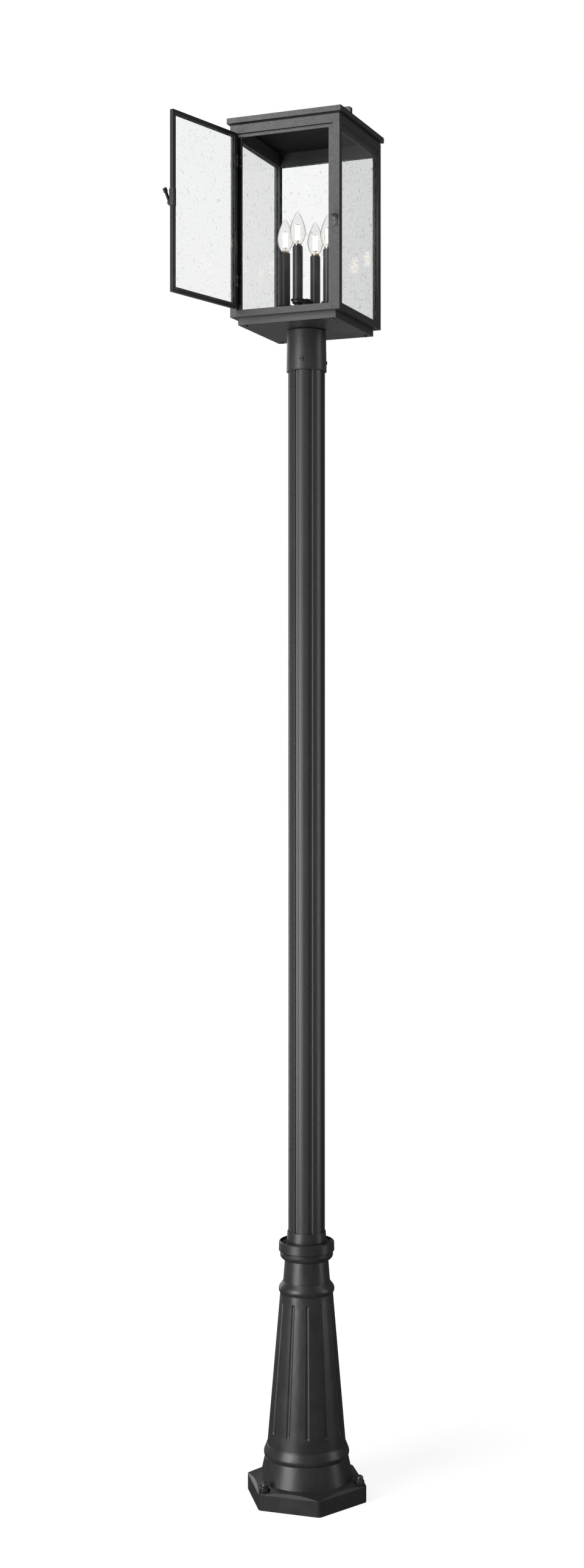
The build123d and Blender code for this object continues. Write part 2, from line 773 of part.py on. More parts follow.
pane_width = 2 * (inner + glass_groove - glass_fit)
for name, sx, sy in (("glass_left", -1, 0), ("glass_right", 1, 0), ("glass_back", 0, 1)):
    with BuildPart() as glass:
        spot = (sx * glass_mid, sy * glass_mid, glass_low - glass_fit)
        pane(pane_width, Plane(origin=spot, x_dir=(sy, sx, 0), z_dir=(0, 0, 1)))
    write(glass.part, name)

# ---------------------------------------------------------------- roof

with BuildPart() as roof_gasket:
    square_ring(gasket_half, gasket_width, header_top, roof_gap)
write(roof_gasket.part, "roof_gasket")

with BuildPart() as ceiling_plate:
    half = ceiling_half
    block(-half, half, -half, half, header_top, header_top + ceiling_thickness)
    for sx, sy in corner_signs:
        spot = Plane(origin=(sx * roof_screw_offset, sy * roof_screw_offset, header_top))
        rod(spot, screw_shank + 3 * thread_fit, ceiling_thickness, Mode.SUBTRACT)
write(ceiling_plate.part, "ceiling_plate")

boss_low = header_top + ceiling_thickness
handle_leg = handle_half - handle_bar / 2
with BuildPart() as roof_cap:
    block(-roof_half, roof_half, -roof_half, roof_half, fascia_low, roof_top)
    fillet(roof_cap.edges().filter_by(Axis.Z), 2.0)
    fillet(roof_cap.faces().sort_by(Axis.Z)[-1].edges(), 1.0)
    inside = roof_half - sheet
    block(-inside, inside, -inside, inside, fascia_low, roof_top - sheet, Mode.SUBTRACT)
    # turned-in hem that rests on the gasket
    square_ring(inside, inside - gasket_half + gasket_width, fascia_low, sheet)
    for sx, sy in corner_signs:
        spot = Plane(origin=(sx * roof_screw_offset, sy * roof_screw_offset, boss_low))
        rod(spot, roof_boss_radius, roof_top - sheet - boss_low)
        rod(spot, screw_shank + thread_fit, 9.5, Mode.SUBTRACT)
    for sx in (-1, 1):
        spot = Plane(origin=(sx * handle_leg, 0, roof_top - sheet))
        rod(spot, screw_shank + 3 * thread_fit, sheet, Mode.SUBTRACT)
write(roof_cap.part, "roof_cap")

tab_low = header_top - sheet
with BuildPart() as roof_screws:
    for sx, sy in corner_signs:
        spot = Plane(origin=(sx * roof_screw_offset, sy * roof_screw_offset, tab_low), z_dir=(0, 0, -1))
        screw(spot, screw_shank, sheet + ceiling_thickness + 8, screw_head, screw_head_height)
write(roof_screws.part, "roof_screws")

handle_top = roof_top + handle_rise
with BuildPart() as roof_handle:
    block(-handle_half, handle_half, -handle_bar / 2, handle_bar / 2, roof_top, handle_top)
    fillet(roof_handle.faces().sort_by(Axis.Z)[-1].edges().filter_by(Axis.Y), 3.0)
    inside = handle_half - handle_bar
    block(-inside, inside, -handle_bar, handle_bar, roof_top, handle_top - handle_bar, Mode.SUBTRACT)
    for sx in (-1, 1):
        rod(Plane(origin=(sx * handle_leg, 0, roof_top)), screw_shank + thread_fit, 14, Mode.SUBTRACT)
write(roof_handle.part, "roof_handle")

with BuildPart() as handle_screws:
    for sx in (-1, 1):
        spot = Plane(origin=(sx * handle_leg, 0, roof_top - sheet), z_dir=(0, 0, -1))
        screw(spot, screw_shank, sheet + 12, screw_head, screw_head_height)
write(handle_screws.part, "handle_screws")

# ---------------------------------------------------------------- door



def door_level(along, depth, height):
    """Level plane on the swung door: X along the door, Y back into the lantern."""
    spot = pin_point + door_x_dir * along + door_y_dir * depth + Vector(0, 0, height)
    return Plane(origin=spot, x_dir=door_x_dir, z_dir=(0, 0, 1))


def door_upright(along, depth, height):
    """Upright plane on the swung door that faces outwards: X along the door, Y up."""
    spot = pin_point + door_x_dir * along + door_y_dir * depth + Vector(0, 0, height)
    return Plane(origin=spot, x_dir=door_x_dir, z_dir=door_y_dir * -1)


def door_inward(along, depth, height):
    """Upright plane on the swung door that faces into the lantern."""
    return Plane(origin=door_upright(along, depth, height).origin, x_dir=(0, 0, 1), z_dir=door_y_dir)


door_centre = door_edge_gap + door_width / 2
leaf_screw_along = door_edge_gap + (door_leg - bead_width) / 2
door_glass_width = door_width - 2 * (door_leg - bead_width) - 1.0
door_glass_height = door_height - 2 * (door_leg - bead_width) - 1.0

with BuildPart() as door_frame:
    with BuildSketch(door_upright(door_centre, outside_face, door_mid)) as outline:
        Rectangle(door_width, door_height)
        Rectangle(door_width - 2 * door_leg, door_height - 2 * door_leg, mode=Mode.SUBTRACT)
    extrude(outline.sketch, amount=-door_thickness)
    # rebate for the glass, open towards the inside
    with BuildSketch(door_upright(door_centre, inside_face, door_mid)) as rebate:
        Rectangle(door_width - 2 * (door_leg - bead_width), door_height - 2 * (door_leg - bead_width))
    extrude(rebate.sketch, amount=bead_thickness + glass_thickness + glass_fit, mode=Mode.SUBTRACT)
    for height in hinge_screw_heights:
        rod(door_inward(leaf_screw_along, inside_face, height), leaf_shank + thread_fit, -5, Mode.SUBTRACT)
    rod(door_upright(latch_along, outside_face, latch_height), pivot_bore, -stile_lip, Mode.SUBTRACT)
write(door_frame.part, "door_frame")

with BuildPart() as glass_door:
    with BuildSketch(door_upright(door_centre, inside_face - bead_thickness, door_mid)) as outline:
        Rectangle(door_glass_width, door_glass_height)
    extrude(outline.sketch, amount=glass_thickness)
write(glass_door.part, "glass_door")

with BuildPart() as door_bead:
    with BuildSketch(door_upright(door_centre, inside_face, door_mid)) as outline:
        Rectangle(door_width - 2 * (door_leg - bead_width), door_height - 2 * (door_leg - bead_width))
        Rectangle(door_width - 2 * door_leg, door_height - 2 * door_leg, mode=Mode.SUBTRACT)
    extrude(outline.sketch, amount=bead_thickness)
write(door_bead.part, "door_bead")

# ---------------------------------------------------------------- hinges

knuckle_gap = 0.2
knuckle = (leaf_height - 2 * knuckle_gap) / 3
post_face = -pin_side  # corner post's inner face, from the pin's axis
stop_face = stop_front - pin_y  # front of the door stops, from the pin's axis
knuckle_back = knuckle_radius + 0.3


def knuckle_spans(centre, middle):
    """Height spans of one leaf's knuckles: the middle one, or the two outer ones."""
    low = centre - leaf_height / 2
    pitch = knuckle + knuckle_gap
    return [(low + k * pitch, low + k * pitch + knuckle) for k in ((1,) if middle else (0, 2))]


with BuildPart() as hinge_fixed_leaves:
    for centre in hinge_heights:
        low, high = centre - leaf_height / 2, centre + leaf_height / 2
        face = pin_x + post_face
        block(face, face + leaf_thickness, pin_y + knuckle_back, stop_front, low, high)
        block(face, face + leaf_width, stop_front - leaf_thickness, stop_front, low, high)
        for z_low, z_high in knuckle_spans(centre, False):
            rod(Plane(origin=(pin_x, pin_y, z_low)), knuckle_radius, z_high - z_low)
            block(face, face + leaf_thickness, pin_y, pin_y + knuckle_back, z_low, z_high)
            rod(Plane(origin=(pin_x, pin_y, z_low)), pin_radius + thread_fit, z_high - z_low, Mode.SUBTRACT)
    for height in hinge_screw_heights:
        face_at = stop_front - leaf_thickness
        hole = Plane(origin=(fixed_screw_x, face_at, height), z_dir=(0, -1, 0))
        rod(hole, leaf_shank + thread_fit, -leaf_thickness, Mode.SUBTRACT)
        countersink(hole, leaf_shank, leaf_head, thread_fit, Mode.SUBTRACT)
write(hinge_fixed_leaves.part, "hinge_fixed_leaves")

with BuildPart() as hinge_moving_leaves:
    for centre in hinge_heights:
        low = centre - leaf_height / 2
        edge = door_edge_gap - leaf_thickness
        top_face = inside_face + leaf_thickness
        with BuildSketch(door_level(0, 0, low)) as angle_leaf:
            with Locations((edge + leaf_thickness / 2, (knuckle_back + top_face) / 2)):
                Rectangle(leaf_thickness, top_face - knuckle_back)
            with Locations((edge + leaf_width / 2, top_face - leaf_thickness / 2)):
                Rectangle(leaf_width, leaf_thickness)
        extrude(angle_leaf.sketch, amount=leaf_height)
        for z_low, z_high in knuckle_spans(centre, True):
            with BuildSketch(door_level(0, 0, z_low)) as eye:
                Circle(knuckle_radius)
                with Locations((door_edge_gap - leaf_thickness / 2, knuckle_back / 2)):
                    Rectangle(leaf_thickness, knuckle_back)
                Circle(pin_radius + thread_fit, mode=Mode.SUBTRACT)
            extrude(eye.sketch, amount=z_high - z_low)
    for height in hinge_screw_heights:
        hole = door_inward(leaf_screw_along, inside_face + leaf_thickness, height)
        rod(hole, leaf_shank + thread_fit, -leaf_thickness, Mode.SUBTRACT)
        countersink(hole, leaf_shank, leaf_head, thread_fit, Mode.SUBTRACT)
write(hinge_moving_leaves.part, "hinge_moving_leaves")

with BuildPart() as hinge_pins:
    for centre in hinge_heights:
        low = centre - leaf_height / 2
        rod(Plane(origin=(pin_x, pin_y, low)), pin_radius, leaf_height)
        rod(Plane(origin=(pin_x, pin_y, low - 1.0)), 0.8 * knuckle_radius, 1.0)
        rod(Plane(origin=(pin_x, pin_y, low + leaf_height)), 0.8 * knuckle_radius, 1.0)
write(hinge_pins.part, "hinge_pins")

with BuildPart() as hinge_post_screws:
    for height in hinge_screw_heights:
        spot = Plane(origin=(fixed_screw_x, stop_front - leaf_thickness, height), z_dir=(0, -1, 0))
        countersink(spot, leaf_shank, leaf_head)
        rod(spot, leaf_shank, -leaf_thickness - stop_thickness)
write(hinge_post_screws.part, "hinge_post_screws")

with BuildPart() as hinge_door_screws:
    for height in hinge_screw_heights:
        spot = door_inward(leaf_screw_along, inside_face + leaf_thickness, height)
        countersink(spot, leaf_shank, leaf_head)
        rod(spot, leaf_shank, -leaf_thickness - 4.8)
write(hinge_door_screws.part, "hinge_door_screws")

# ---------------------------------------------------------------- latch

pivot_spot = door_upright(latch_along, outside_face, latch_height)
lever_x_dir = door_x_dir * sin(radians(latch_lean)) + Vector(0, 0, cos(radians(latch_lean)))
lever_plane = Plane(origin=pivot_spot.offset(lever_back).origin, x_dir=lever_x_dir, z_dir=pivot_spot.z_dir)
door_depth_mid = (outside_face + inside_face) / 2

with BuildPart() as latch_clip:
    with BuildSketch(door_level(free_edge, door_depth_mid, body + clip_low)) as clip_section:
        with Locations((clip_thickness - clip_width / 2, 0)):
            Rectangle(clip_width, door_thickness + 2 * clip_thickness)
        with Locations((-clip_width / 2, 0)):
            Rectangle(clip_width, door_thickness, mode=Mode.SUBTRACT)
    extrude(clip_section.sketch, amount=clip_high - clip_low)
    rod(pivot_spot, pivot_bore, clip_thickness, Mode.SUBTRACT)
write(latch_clip.part, "latch_clip")

with BuildPart() as latch_pivot:
    rod(pivot_spot.offset(0.1 - stile_lip), screw_shank, lever_back + latch_thickness + stile_lip)
    rod(pivot_spot.offset(clip_thickness), latch_boss_radius - 1.4, latch_standoff)
    rod(pivot_spot.offset(lever_back + latch_thickness), latch_boss_radius - 1.2, 1.8)
write(latch_pivot.part, "latch_pivot")

with BuildPart() as latch_lever:
    with BuildSketch(lever_plane) as lever_outline:
        Circle(latch_boss_radius)
        with Locations((latch_reach / 2 - 1, 0)):
            Rectangle(latch_reach - 2, latch_stem_width)
        with Locations((latch_reach - latch_head_length / 2, 0)):
            RectangleRounded(latch_head_length, latch_head_width, 1.5)
        Circle(pivot_bore, mode=Mode.SUBTRACT)
    extrude(lever_outline.sketch, amount=latch_thickness)
write(latch_lever.part, "latch_lever")

with BuildPart() as latch_keeper:
    left = keeper_x - keeper_width / 2
    right = keeper_x + keeper_width / 2
    lip_outside = lip_inside - keeper_thickness
    block(left, right, -body_half - keeper_thickness, -body_half, shelf_top - keeper_height, shelf_top)
    block(left, right, lip_outside, -body_half, shelf_top - keeper_thickness, shelf_top)
    block(left, right, lip_outside, lip_inside, shelf_top - keeper_thickness, shelf_top + keeper_lip)
    for height in keeper_screw_heights:
        spot = Plane(origin=(keeper_x, -body_half, height), z_dir=(0, -1, 0))
        rod(spot, small_shank + 2 * thread_fit, keeper_thickness, Mode.SUBTRACT)
write(latch_keeper.part, "latch_keeper")

with BuildPart() as keeper_screws:
    for height in keeper_screw_heights:
        spot = Plane(origin=(keeper_x, -body_half - keeper_thickness, height), z_dir=(0, -1, 0))
        screw(spot, small_shank, keeper_thickness + 7.5, small_head, small_head_height, 0.9)
write(keeper_screws.part, "keeper_screws")

# ---------------------------------------------------------------- candle cluster


def lathe(angle, radius, points, mode=Mode.ADD):
    """Turn a closed outline of (radius, height) points about an upright axis."""
    spot = turned(angle, radius, 0).origin
    with BuildSketch(Plane(origin=spot, x_dir=(1, 0, 0), z_dir=(0, -1, 0))) as outline:
        with BuildLine():
            Polyline(*points, close=True)
        make_face()
    revolve(outline.sketch, axis=Axis(spot, (0, 0, 1)), mode=mode)


with BuildPart() as candle_hub:
    rod(Plane.XY.offset(floor_top), hub_radius, hub_height)
    rod(Plane.XY.offset(hub_floor), hub_radius - hub_wall, hub_height, Mode.SUBTRACT)
    rod(Plane.XY.offset(floor_top), nipple_radius + thread_fit, hub_floor_thickness, Mode.SUBTRACT)
    for angle in candle_angles:
        spot = outward(angle, hub_radius - hub_wall - 1, arm_level)
        rod(spot, arm_radius + thread_fit, hub_wall + 2, Mode.SUBTRACT)
write(candle_hub.part, "candle_hub")

spigot = hub_radius - hub_wall - 0.1
with BuildPart() as hub_cap:
    with BuildSketch(Plane.XZ):
        with BuildLine():
            Line((0, hub_top + hub_cap_height), (3, hub_top + hub_cap_height))
            ThreePointArc((3, hub_top + hub_cap_height), (13.0, hub_top + 11.2), (hub_radius, hub_top + 1))
            Polyline(
                (hub_radius, hub_top + 1),
                (hub_radius, hub_top),
                (spigot, hub_top),
                (spigot, hub_top - 3),
                (spigot - 2, hub_top - 3),
                (spigot - 2, hub_top + 2),
            )
            ThreePointArc((spigot - 2, hub_top + 2), (9.0, hub_top + 9.6), (3, hub_top + 13))
            Polyline((3, hub_top + 13), (0, hub_top + 13), (0, hub_top + hub_cap_height))
        make_face()
    revolve()
write(hub_cap.part, "hub_cap")

with BuildPart() as candle_arms:
    for angle in candle_angles:
        start = outward(angle, hub_radius - hub_wall - 1, arm_level)
        length = arm_end - hub_radius + hub_wall + 1
        rod(start, arm_radius, length)
        rod(start, arm_radius - arm_wall, length, Mode.SUBTRACT)
write(candle_arms.part, "candle_arms")

support_low = sleeve_low - 8
with BuildPart() as drip_cups:
    for angle in candle_angles:
        lathe(
            angle,
            candle_radius,
            (
                (0, arm_level - 7.5),
                (4.5, arm_level - 7.5),
                (stem_radius, arm_level - 5),
                (stem_radius, sleeve_low - 11),
                (11.4, sleeve_low - 8),
                (11.4, sleeve_low - 4),
                (drip_radius - 0.5, sleeve_low - 3.4),
                (drip_radius, sleeve_low - 2.6),
                (drip_radius, sleeve_low - 0.6),
                (drip_radius - 0.6, sleeve_low),
                (0, sleeve_low),
            ),
        )
        stem_face = candle_radius - stem_radius - 1
        spot = outward(angle, stem_face, arm_level)
        rod(spot, arm_radius + thread_fit, arm_end - stem_face, Mode.SUBTRACT)
        rod(spot, arm_radius - arm_wall, candle_radius - stem_face, Mode.SUBTRACT)
        spot = turned(angle, candle_radius, arm_level)
        rod(spot, arm_radius - arm_wall, sleeve_low - arm_level, Mode.SUBTRACT)
        rod(turned(angle, candle_radius, support_low), support_radius + thread_fit, 10, Mode.SUBTRACT)
write(drip_cups.part, "drip_cups")

support_top = holder_low + 2
with BuildPart() as socket_supports:
    for angle in candle_angles:
        spot = turned(angle, candle_radius, support_low)
        rod(spot, support_radius, support_top - support_low)
        rod(spot, support_radius - 1.4, support_top - support_low, Mode.SUBTRACT)
write(socket_supports.part, "socket_supports")

with BuildPart() as candle_sleeves:
    for angle in candle_angles:
        spot = turned(angle, candle_radius, sleeve_low)
        rod(spot, sleeve_radius, sleeve_height)
    chamfer(candle_sleeves.faces().filter_by(Axis.Z).group_by(Axis.Z)[-1].edges(), 0.5)
    for angle in candle_angles:
        spot = turned(angle, candle_radius, sleeve_low)
        rod(spot, sleeve_radius - sleeve_wall, sleeve_height, Mode.SUBTRACT)
write(candle_sleeves.part, "candle_sleeves")

with BuildPart() as lamp_holders:
    for angle in candle_angles:
        spot = turned(angle, candle_radius, holder_low)
        rod(spot, holder_radius, holder_height)
        rod(spot, support_radius + thread_fit, 2, Mode.SUBTRACT)
        rod(spot, support_radius - 1.4, 4, Mode.SUBTRACT)
        rod(spot.offset(4), base_shell_radius + thread_fit, holder_height, Mode.SUBTRACT)
write(lamp_holders.part, "lamp_holders")

with BuildPart() as bulb_bases:
    for angle in candle_angles:
        lathe(
            angle,
            candle_radius,
            (
                (0, holder_top - 31),
                (2.8, holder_top - 31),
                (4.6, holder_top - 27),
                (base_shell_radius, holder_top - 24),
                (base_shell_radius, holder_top),
                (base_collar_radius, holder_top),
                (base_collar_radius, bulb_seat + 3),
                (base_collar_radius - 0.7, bulb_seat + 3),
                (base_collar_radius - 0.7, bulb_seat),
                (0, bulb_seat),
            ),
        )
write(bulb_bases.part, "bulb_bases")

bulb_outline = (
    (7.2, 0),
    (7.5, 3),
    (9.6, 6.6),
    (13.2, 14),
    (15.6, 22),
    (bulb_radius, 30),
    (15.2, 39),
    (12.0, 50),
    (7.8, 60.5),
    (4.0, 68),
    (0, bulb_height),
)


def bulb_face(angle, inset):
    """Half outline of a bulb about its own axis, drawn in by the wall when inset is given."""
    spot = turned(angle, candle_radius, bulb_seat).origin
    points = [(max(r - inset, 0), h) for r, h in bulb_outline[:-1]] + [(0, bulb_height - inset)]
    with BuildSketch(Plane(origin=spot, x_dir=(1, 0, 0), z_dir=(0, -1, 0))) as outline:
        with BuildLine():
            Spline(*points, tangents=((0, 1), (-1, 0)))
            Polyline(points[-1], (0, 0), points[0])
        make_face()
    return outline.sketch


with BuildPart() as bulb_glass:
    for angle in candle_angles:
        centre = Axis(turned(angle, candle_radius, bulb_seat).origin, (0, 0, 1))
        revolve(bulb_face(angle, 0), axis=centre)
        revolve(bulb_face(angle, bulb_wall), axis=centre, mode=Mode.SUBTRACT)
write(bulb_glass.part, "bulb_glass")

filament_low = bulb_seat + 13
filament_top = filament_low + filament_length
with BuildPart() as bulb_stems:
    for angle in candle_angles:
        lathe(
            angle,
            candle_radius,
            (
                (0, bulb_seat),
                (3.4, bulb_seat),
                (3.4, bulb_seat + 7),
                (1.6, filament_low - 2),
                (1.6, filament_low),
                (0.6, filament_low),
                (0.6, filament_top + 1),
                (0, filament_top + 1),
            ),
        )
        reach = filament_circle + 1.2
        for height in (filament_low - 1, filament_top):
            with BuildSketch(turned(angle, candle_radius, height)) as cross:
                Rectangle(2 * reach, 1.0)
                Rectangle(1.0, 2 * reach)
            extrude(cross.sketch, amount=1.0)
write(bulb_stems.part, "bulb_stems")

with BuildPart() as bulb_filaments:
    for angle in candle_angles:
        with BuildSketch(turned(angle, candle_radius, filament_low)) as strips:
            with PolarLocations(filament_circle, 4):
                Circle(filament_radius)
        extrude(strips.sketch, amount=filament_length)
write(bulb_filaments.part, "bulb_filaments")
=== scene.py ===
"""Post top lantern: finishes, glass, lamps and small hardware round the packed solids."""

import json
from math import cos, pi, radians, sin

import bmesh
import bpy
from bpy.props import FloatProperty, FloatVectorProperty, PointerProperty
from mathutils import Matrix, Vector

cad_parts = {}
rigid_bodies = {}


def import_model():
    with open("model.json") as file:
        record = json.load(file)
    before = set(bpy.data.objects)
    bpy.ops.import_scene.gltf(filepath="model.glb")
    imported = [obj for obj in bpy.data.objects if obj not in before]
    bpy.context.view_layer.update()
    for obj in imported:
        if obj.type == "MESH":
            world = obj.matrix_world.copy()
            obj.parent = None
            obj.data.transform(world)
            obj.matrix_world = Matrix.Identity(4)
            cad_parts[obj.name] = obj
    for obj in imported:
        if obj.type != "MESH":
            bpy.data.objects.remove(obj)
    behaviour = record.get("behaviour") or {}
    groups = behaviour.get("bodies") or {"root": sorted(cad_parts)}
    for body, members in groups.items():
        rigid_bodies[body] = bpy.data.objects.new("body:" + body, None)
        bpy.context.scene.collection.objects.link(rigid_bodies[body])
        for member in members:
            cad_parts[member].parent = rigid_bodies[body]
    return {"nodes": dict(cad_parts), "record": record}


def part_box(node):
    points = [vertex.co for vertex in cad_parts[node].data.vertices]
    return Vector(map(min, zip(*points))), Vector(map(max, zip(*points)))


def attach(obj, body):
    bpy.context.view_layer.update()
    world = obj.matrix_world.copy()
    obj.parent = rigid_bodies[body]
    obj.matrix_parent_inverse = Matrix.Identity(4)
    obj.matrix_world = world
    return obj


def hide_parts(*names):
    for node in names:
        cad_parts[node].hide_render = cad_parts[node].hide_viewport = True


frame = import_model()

bl_info = {
    "name": "Post Top Lantern",
    "version": (1, 0, 0),
    "blender": (4, 5, 0),
    "location": "View3D > Sidebar > Lantern",
    "description": "Finishes and fine pieces of a post top lantern",
    "category": "Add Mesh",
}

MM = 0.001

# the lamps, in millimetres and degrees; an outline lists a radius and a height at each level
BODY_BOTTOM = 2424.0
LAMP_SEAT = BODY_BOTTOM + 150.0
LAMP_CIRCLE = 48.0
LAMP_ANGLES = (-90.0, 0.0, 90.0, 180.0)
LAMP_LIGHT_RISE = 28.0
FILAMENT_CIRCLE = 4.0
FILAMENT_RADIUS = 0.85
FILAMENT_COUNT = 4
FIRST_FILAMENT = 45.0
WIRE_RADIUS = 0.35
MIDDLE_WIRE_RADIUS = 0.4
BULB_OUTLINE = (
    (7.2, 0.0),
    (7.5, 3.0),
    (9.6, 6.6),
    (13.2, 14.0),
    (15.6, 22.0),
    (16.2, 30.0),
    (15.2, 39.0),
    (12.0, 50.0),
    (7.8, 60.5),
    (4.0, 68.0),
    (0.0, 72.0),
)
BULB_WALL = 0.7
CAP_OUTLINE = (
    (0, -4.5),
    (7.6, -4.5),
    (7.9, -4.0),
    (7.9, 0.6),
    (8.15, 1.0),
    (8.15, 3.2),
    (7.8, 3.5),
    (7.8, 4.0),
    (7.6, 4.3),
    (0, 4.0),
)
STEM_OUTLINE = (
    (0, 0.5),
    (5.2, 0.5),
    (4.6, 3.0),
    (3.0, 6.5),
    (2.2, 11.0),
    (1.7, 16.0),
    (0, 17.0),
)
UPPER_CROSS_OUTLINE = ((0, 44.2), (1.5, 44.4), (1.5, 45.6), (0, 45.9))
LOWER_CROSS_OUTLINE = ((0, 9.8), (1.9, 10.0), (1.9, 11.2), (0, 11.4))

# the nuts and washers on the foot, in millimetres and degrees
ANCHOR_CIRCLE = 115.0
ANCHOR_ANGLES = (4.0, 124.0, 244.0)
NUT_FLATS = 17.0
NUT_SIDES_OUTLINE = (
    (8.2, 0, NUT_FLATS),
    (9.5, 0.6, NUT_FLATS),
    (9.9, 1.2, NUT_FLATS),
    (9.9, 6.6, NUT_FLATS),
    (9.3, 7.6, NUT_FLATS),
    (8.3, 8.2, NUT_FLATS),
)
NUT_NECK_OUTLINE = ((7.75, 8.4), (7.55, 8.9), (7.5, 9.6))
NUT_DOME_RADIUS = 7.5
NUT_DOME_HEIGHT = 12.0
WASHER_BORE = 6.2
WASHER_RADIUS = 11.9
WASHER_EDGE = 0.3

# the openings that the panes' seals run round, in millimetres; the door's are from its hinge pin
PANE_PLANE = 112.0
PANE_HALF = 1.5
OPENING_HALF = 104.8
OPENING_LOW = 2438.0
OPENING_HEIGHT = 349.0
DOOR_TURN = -104.0  # degrees from shut
DOOR_PIN = (-103.9, -122.2)
DOOR_OPENING_START = 11.7
DOOR_OPENING_LOW = 2448.2
DOOR_OPENING_WIDTH = 185.2
DOOR_OPENING_HEIGHT = 338.6
DOOR_PANE_FACES = ((2.3, 1), (-0.7, -1))  # depth of a face, and which way it looks
SEAL_BAND = 1.7
SEAL_RISE = 1.0
SEAL_GAP = 0.03

# the camera stands this far from the post, turned from the front to the right, in degrees
CAMERA_DISTANCE = 4.266
CAMERA_HEIGHT = 1.562
CAMERA_TURN = 22.24
CAMERA_LENS = 47.31
CAMERA_SHIFT = (-0.0093, -0.0278)

# soft lamps: angle from +X in degrees, distance and height of the middle, width and height
SOFT_LAMPS = {
    "key": (-116.0, 2.8, 0.7, (1.3, 2.6)),
    "middle": (-116.0, 2.8, 2.7, (1.3, 1.4)),
    "head": (-116.0, 2.8, 4.2, (1.3, 1.3)),
    "strip": (12.0, 2.6, 1.5, (0.35, 4.6)),
    "back": (145.0, 2.8, 1.8, (1.2, 4.0)),
}
NEAR_FLOOR_LEVEL = 0.05
BLACK = (0.0, 0.0, 0.0)
WHITE = (1.0, 1.0, 1.0)


# ---------------------------------------------------------------- settings


class CoatSettings(bpy.types.PropertyGroup):
    """The black powder coat."""

    colour: FloatVectorProperty(
        name="Coat colour",
        description="Colour of the powder coat",
        subtype="COLOR",
        size=3,
        min=0.0,
        max=1.0,
        default=(0.023, 0.023, 0.024),
    )
    roughness: FloatProperty(
        name="Coat roughness",
        description="How matt the powder coat is",
        subtype="FACTOR",
        min=0.0,
        max=1.0,
        default=0.40,
    )
    grain: FloatProperty(
        name="Grain size",
        description="Size of the powder coat's grain",
        subtype="DISTANCE",
        unit="LENGTH",
        default=0.0014,
    )
    grain_depth: FloatProperty(
        name="Grain depth",
        description="Depth of the powder coat's grain",
        subtype="DISTANCE",
        unit="LENGTH",
        default=0.00020,
    )
    edge: FloatProperty(
        name="Edge rounding",
        description="Radius left on the sharp edges of sheet and tube",
        subtype="DISTANCE",
        unit="LENGTH",
        default=0.0006,
    )


class GlassSettings(bpy.types.PropertyGroup):
    """The seeded panes."""

    tint: FloatVectorProperty(
        name="Glass tint",
        description="Colour of light that passes through a pane",
        subtype="COLOR",
        size=3,
        min=0.0,
        max=1.0,
        default=(0.985, 0.990, 0.992),
    )
    # painted shade: the bubbles are darkened in the glass's colour, in place of the dark look their
    # refraction gives
    bubble_painted_shade: FloatVectorProperty(
        name="Seed tint",
        description="How dark the small bubbles in the glass look",
        subtype="COLOR",
        size=3,
        min=0.0,
        max=1.0,
        default=(0.22, 0.23, 0.24),
    )
    seed_spacing: FloatProperty(
        name="Seed spacing",
        description="Distance between bubbles",
        subtype="DISTANCE",
        unit="LENGTH",
        default=0.0078,
    )
    wave: FloatProperty(
        name="Wave depth",
        description="Depth of the waves in the glass",
        subtype="DISTANCE",
        unit="LENGTH",
        default=0.00008,
    )


class LampSettings(bpy.types.PropertyGroup):
    """The candle lamps."""

    glow: FloatVectorProperty(
        name="Filament colour",
        description="Colour of the lit filaments",
        subtype="COLOR",
        size=3,
        min=0.0,
        max=1.0,
        default=(1.0, 0.80, 0.48),
    )
    glow_strength: FloatProperty(
        name="Filament strength",
        description="Brightness of the lit filaments",
        min=0.0,
        default=7.0,
    )
    lamp_power: FloatProperty(
        name="Lamp power",
        description="Light that each lamp gives its surroundings",
        unit="POWER",
        min=0.0,
        default=0.04,
    )


class StudioSettings(bpy.types.PropertyGroup):
    """The studio round the lantern."""

    key_power: FloatProperty(
        name="Key power",
        description="Power of the large soft lamp on the left",
        unit="POWER",
        default=105.0,
    )
    middle_power: FloatProperty(
        name="Middle power",
        description="Power of the soft lamp between the key lamp and the head lamp",
        unit="POWER",
        default=25.0,
    )
    head_power: FloatProperty(
        name="Head power",
        description="Power of the soft lamp over the key lamp, for the lantern's head",
        unit="POWER",
        default=52.0,
    )
    strip_power: FloatProperty(
        name="Strip power",
        description="Power of the narrow soft lamp on the right",
        unit="POWER",
        default=32.0,
    )
    back_power: FloatProperty(
        name="Back power",
        description="Power of the soft lamp behind the lantern",
        unit="POWER",
        default=25.0,
    )
    glossy_level: FloatProperty(
        name="Background in reflections",
        description="How bright the background looks in reflections",
        default=0.10,
    )
    floor_level: FloatProperty(
        name="Floor in reflections",
        description="How bright the floor looks in reflections",
        default=0.27,
    )
    fill_level: FloatProperty(
        name="Fill level",
        description="Light from all round",
        default=0.05,
    )


SETTINGS = {
    "coat": CoatSettings,
    "glass": GlassSettings,
    "lamps": LampSettings,
    "studio": StudioSettings,
}


class LanternSettings(bpy.types.PropertyGroup):
    """All the sizes and colours of the lantern's looks."""

    coat: PointerProperty(type=CoatSettings)
    glass: PointerProperty(type=GlassSettings)
    lamps: PointerProperty(type=LampSettings)
    studio: PointerProperty(type=StudioSettings)


def settings():
    """The lantern's settings in this scene."""
    return bpy.context.scene.lantern


# ---------------------------------------------------------------- node expressions


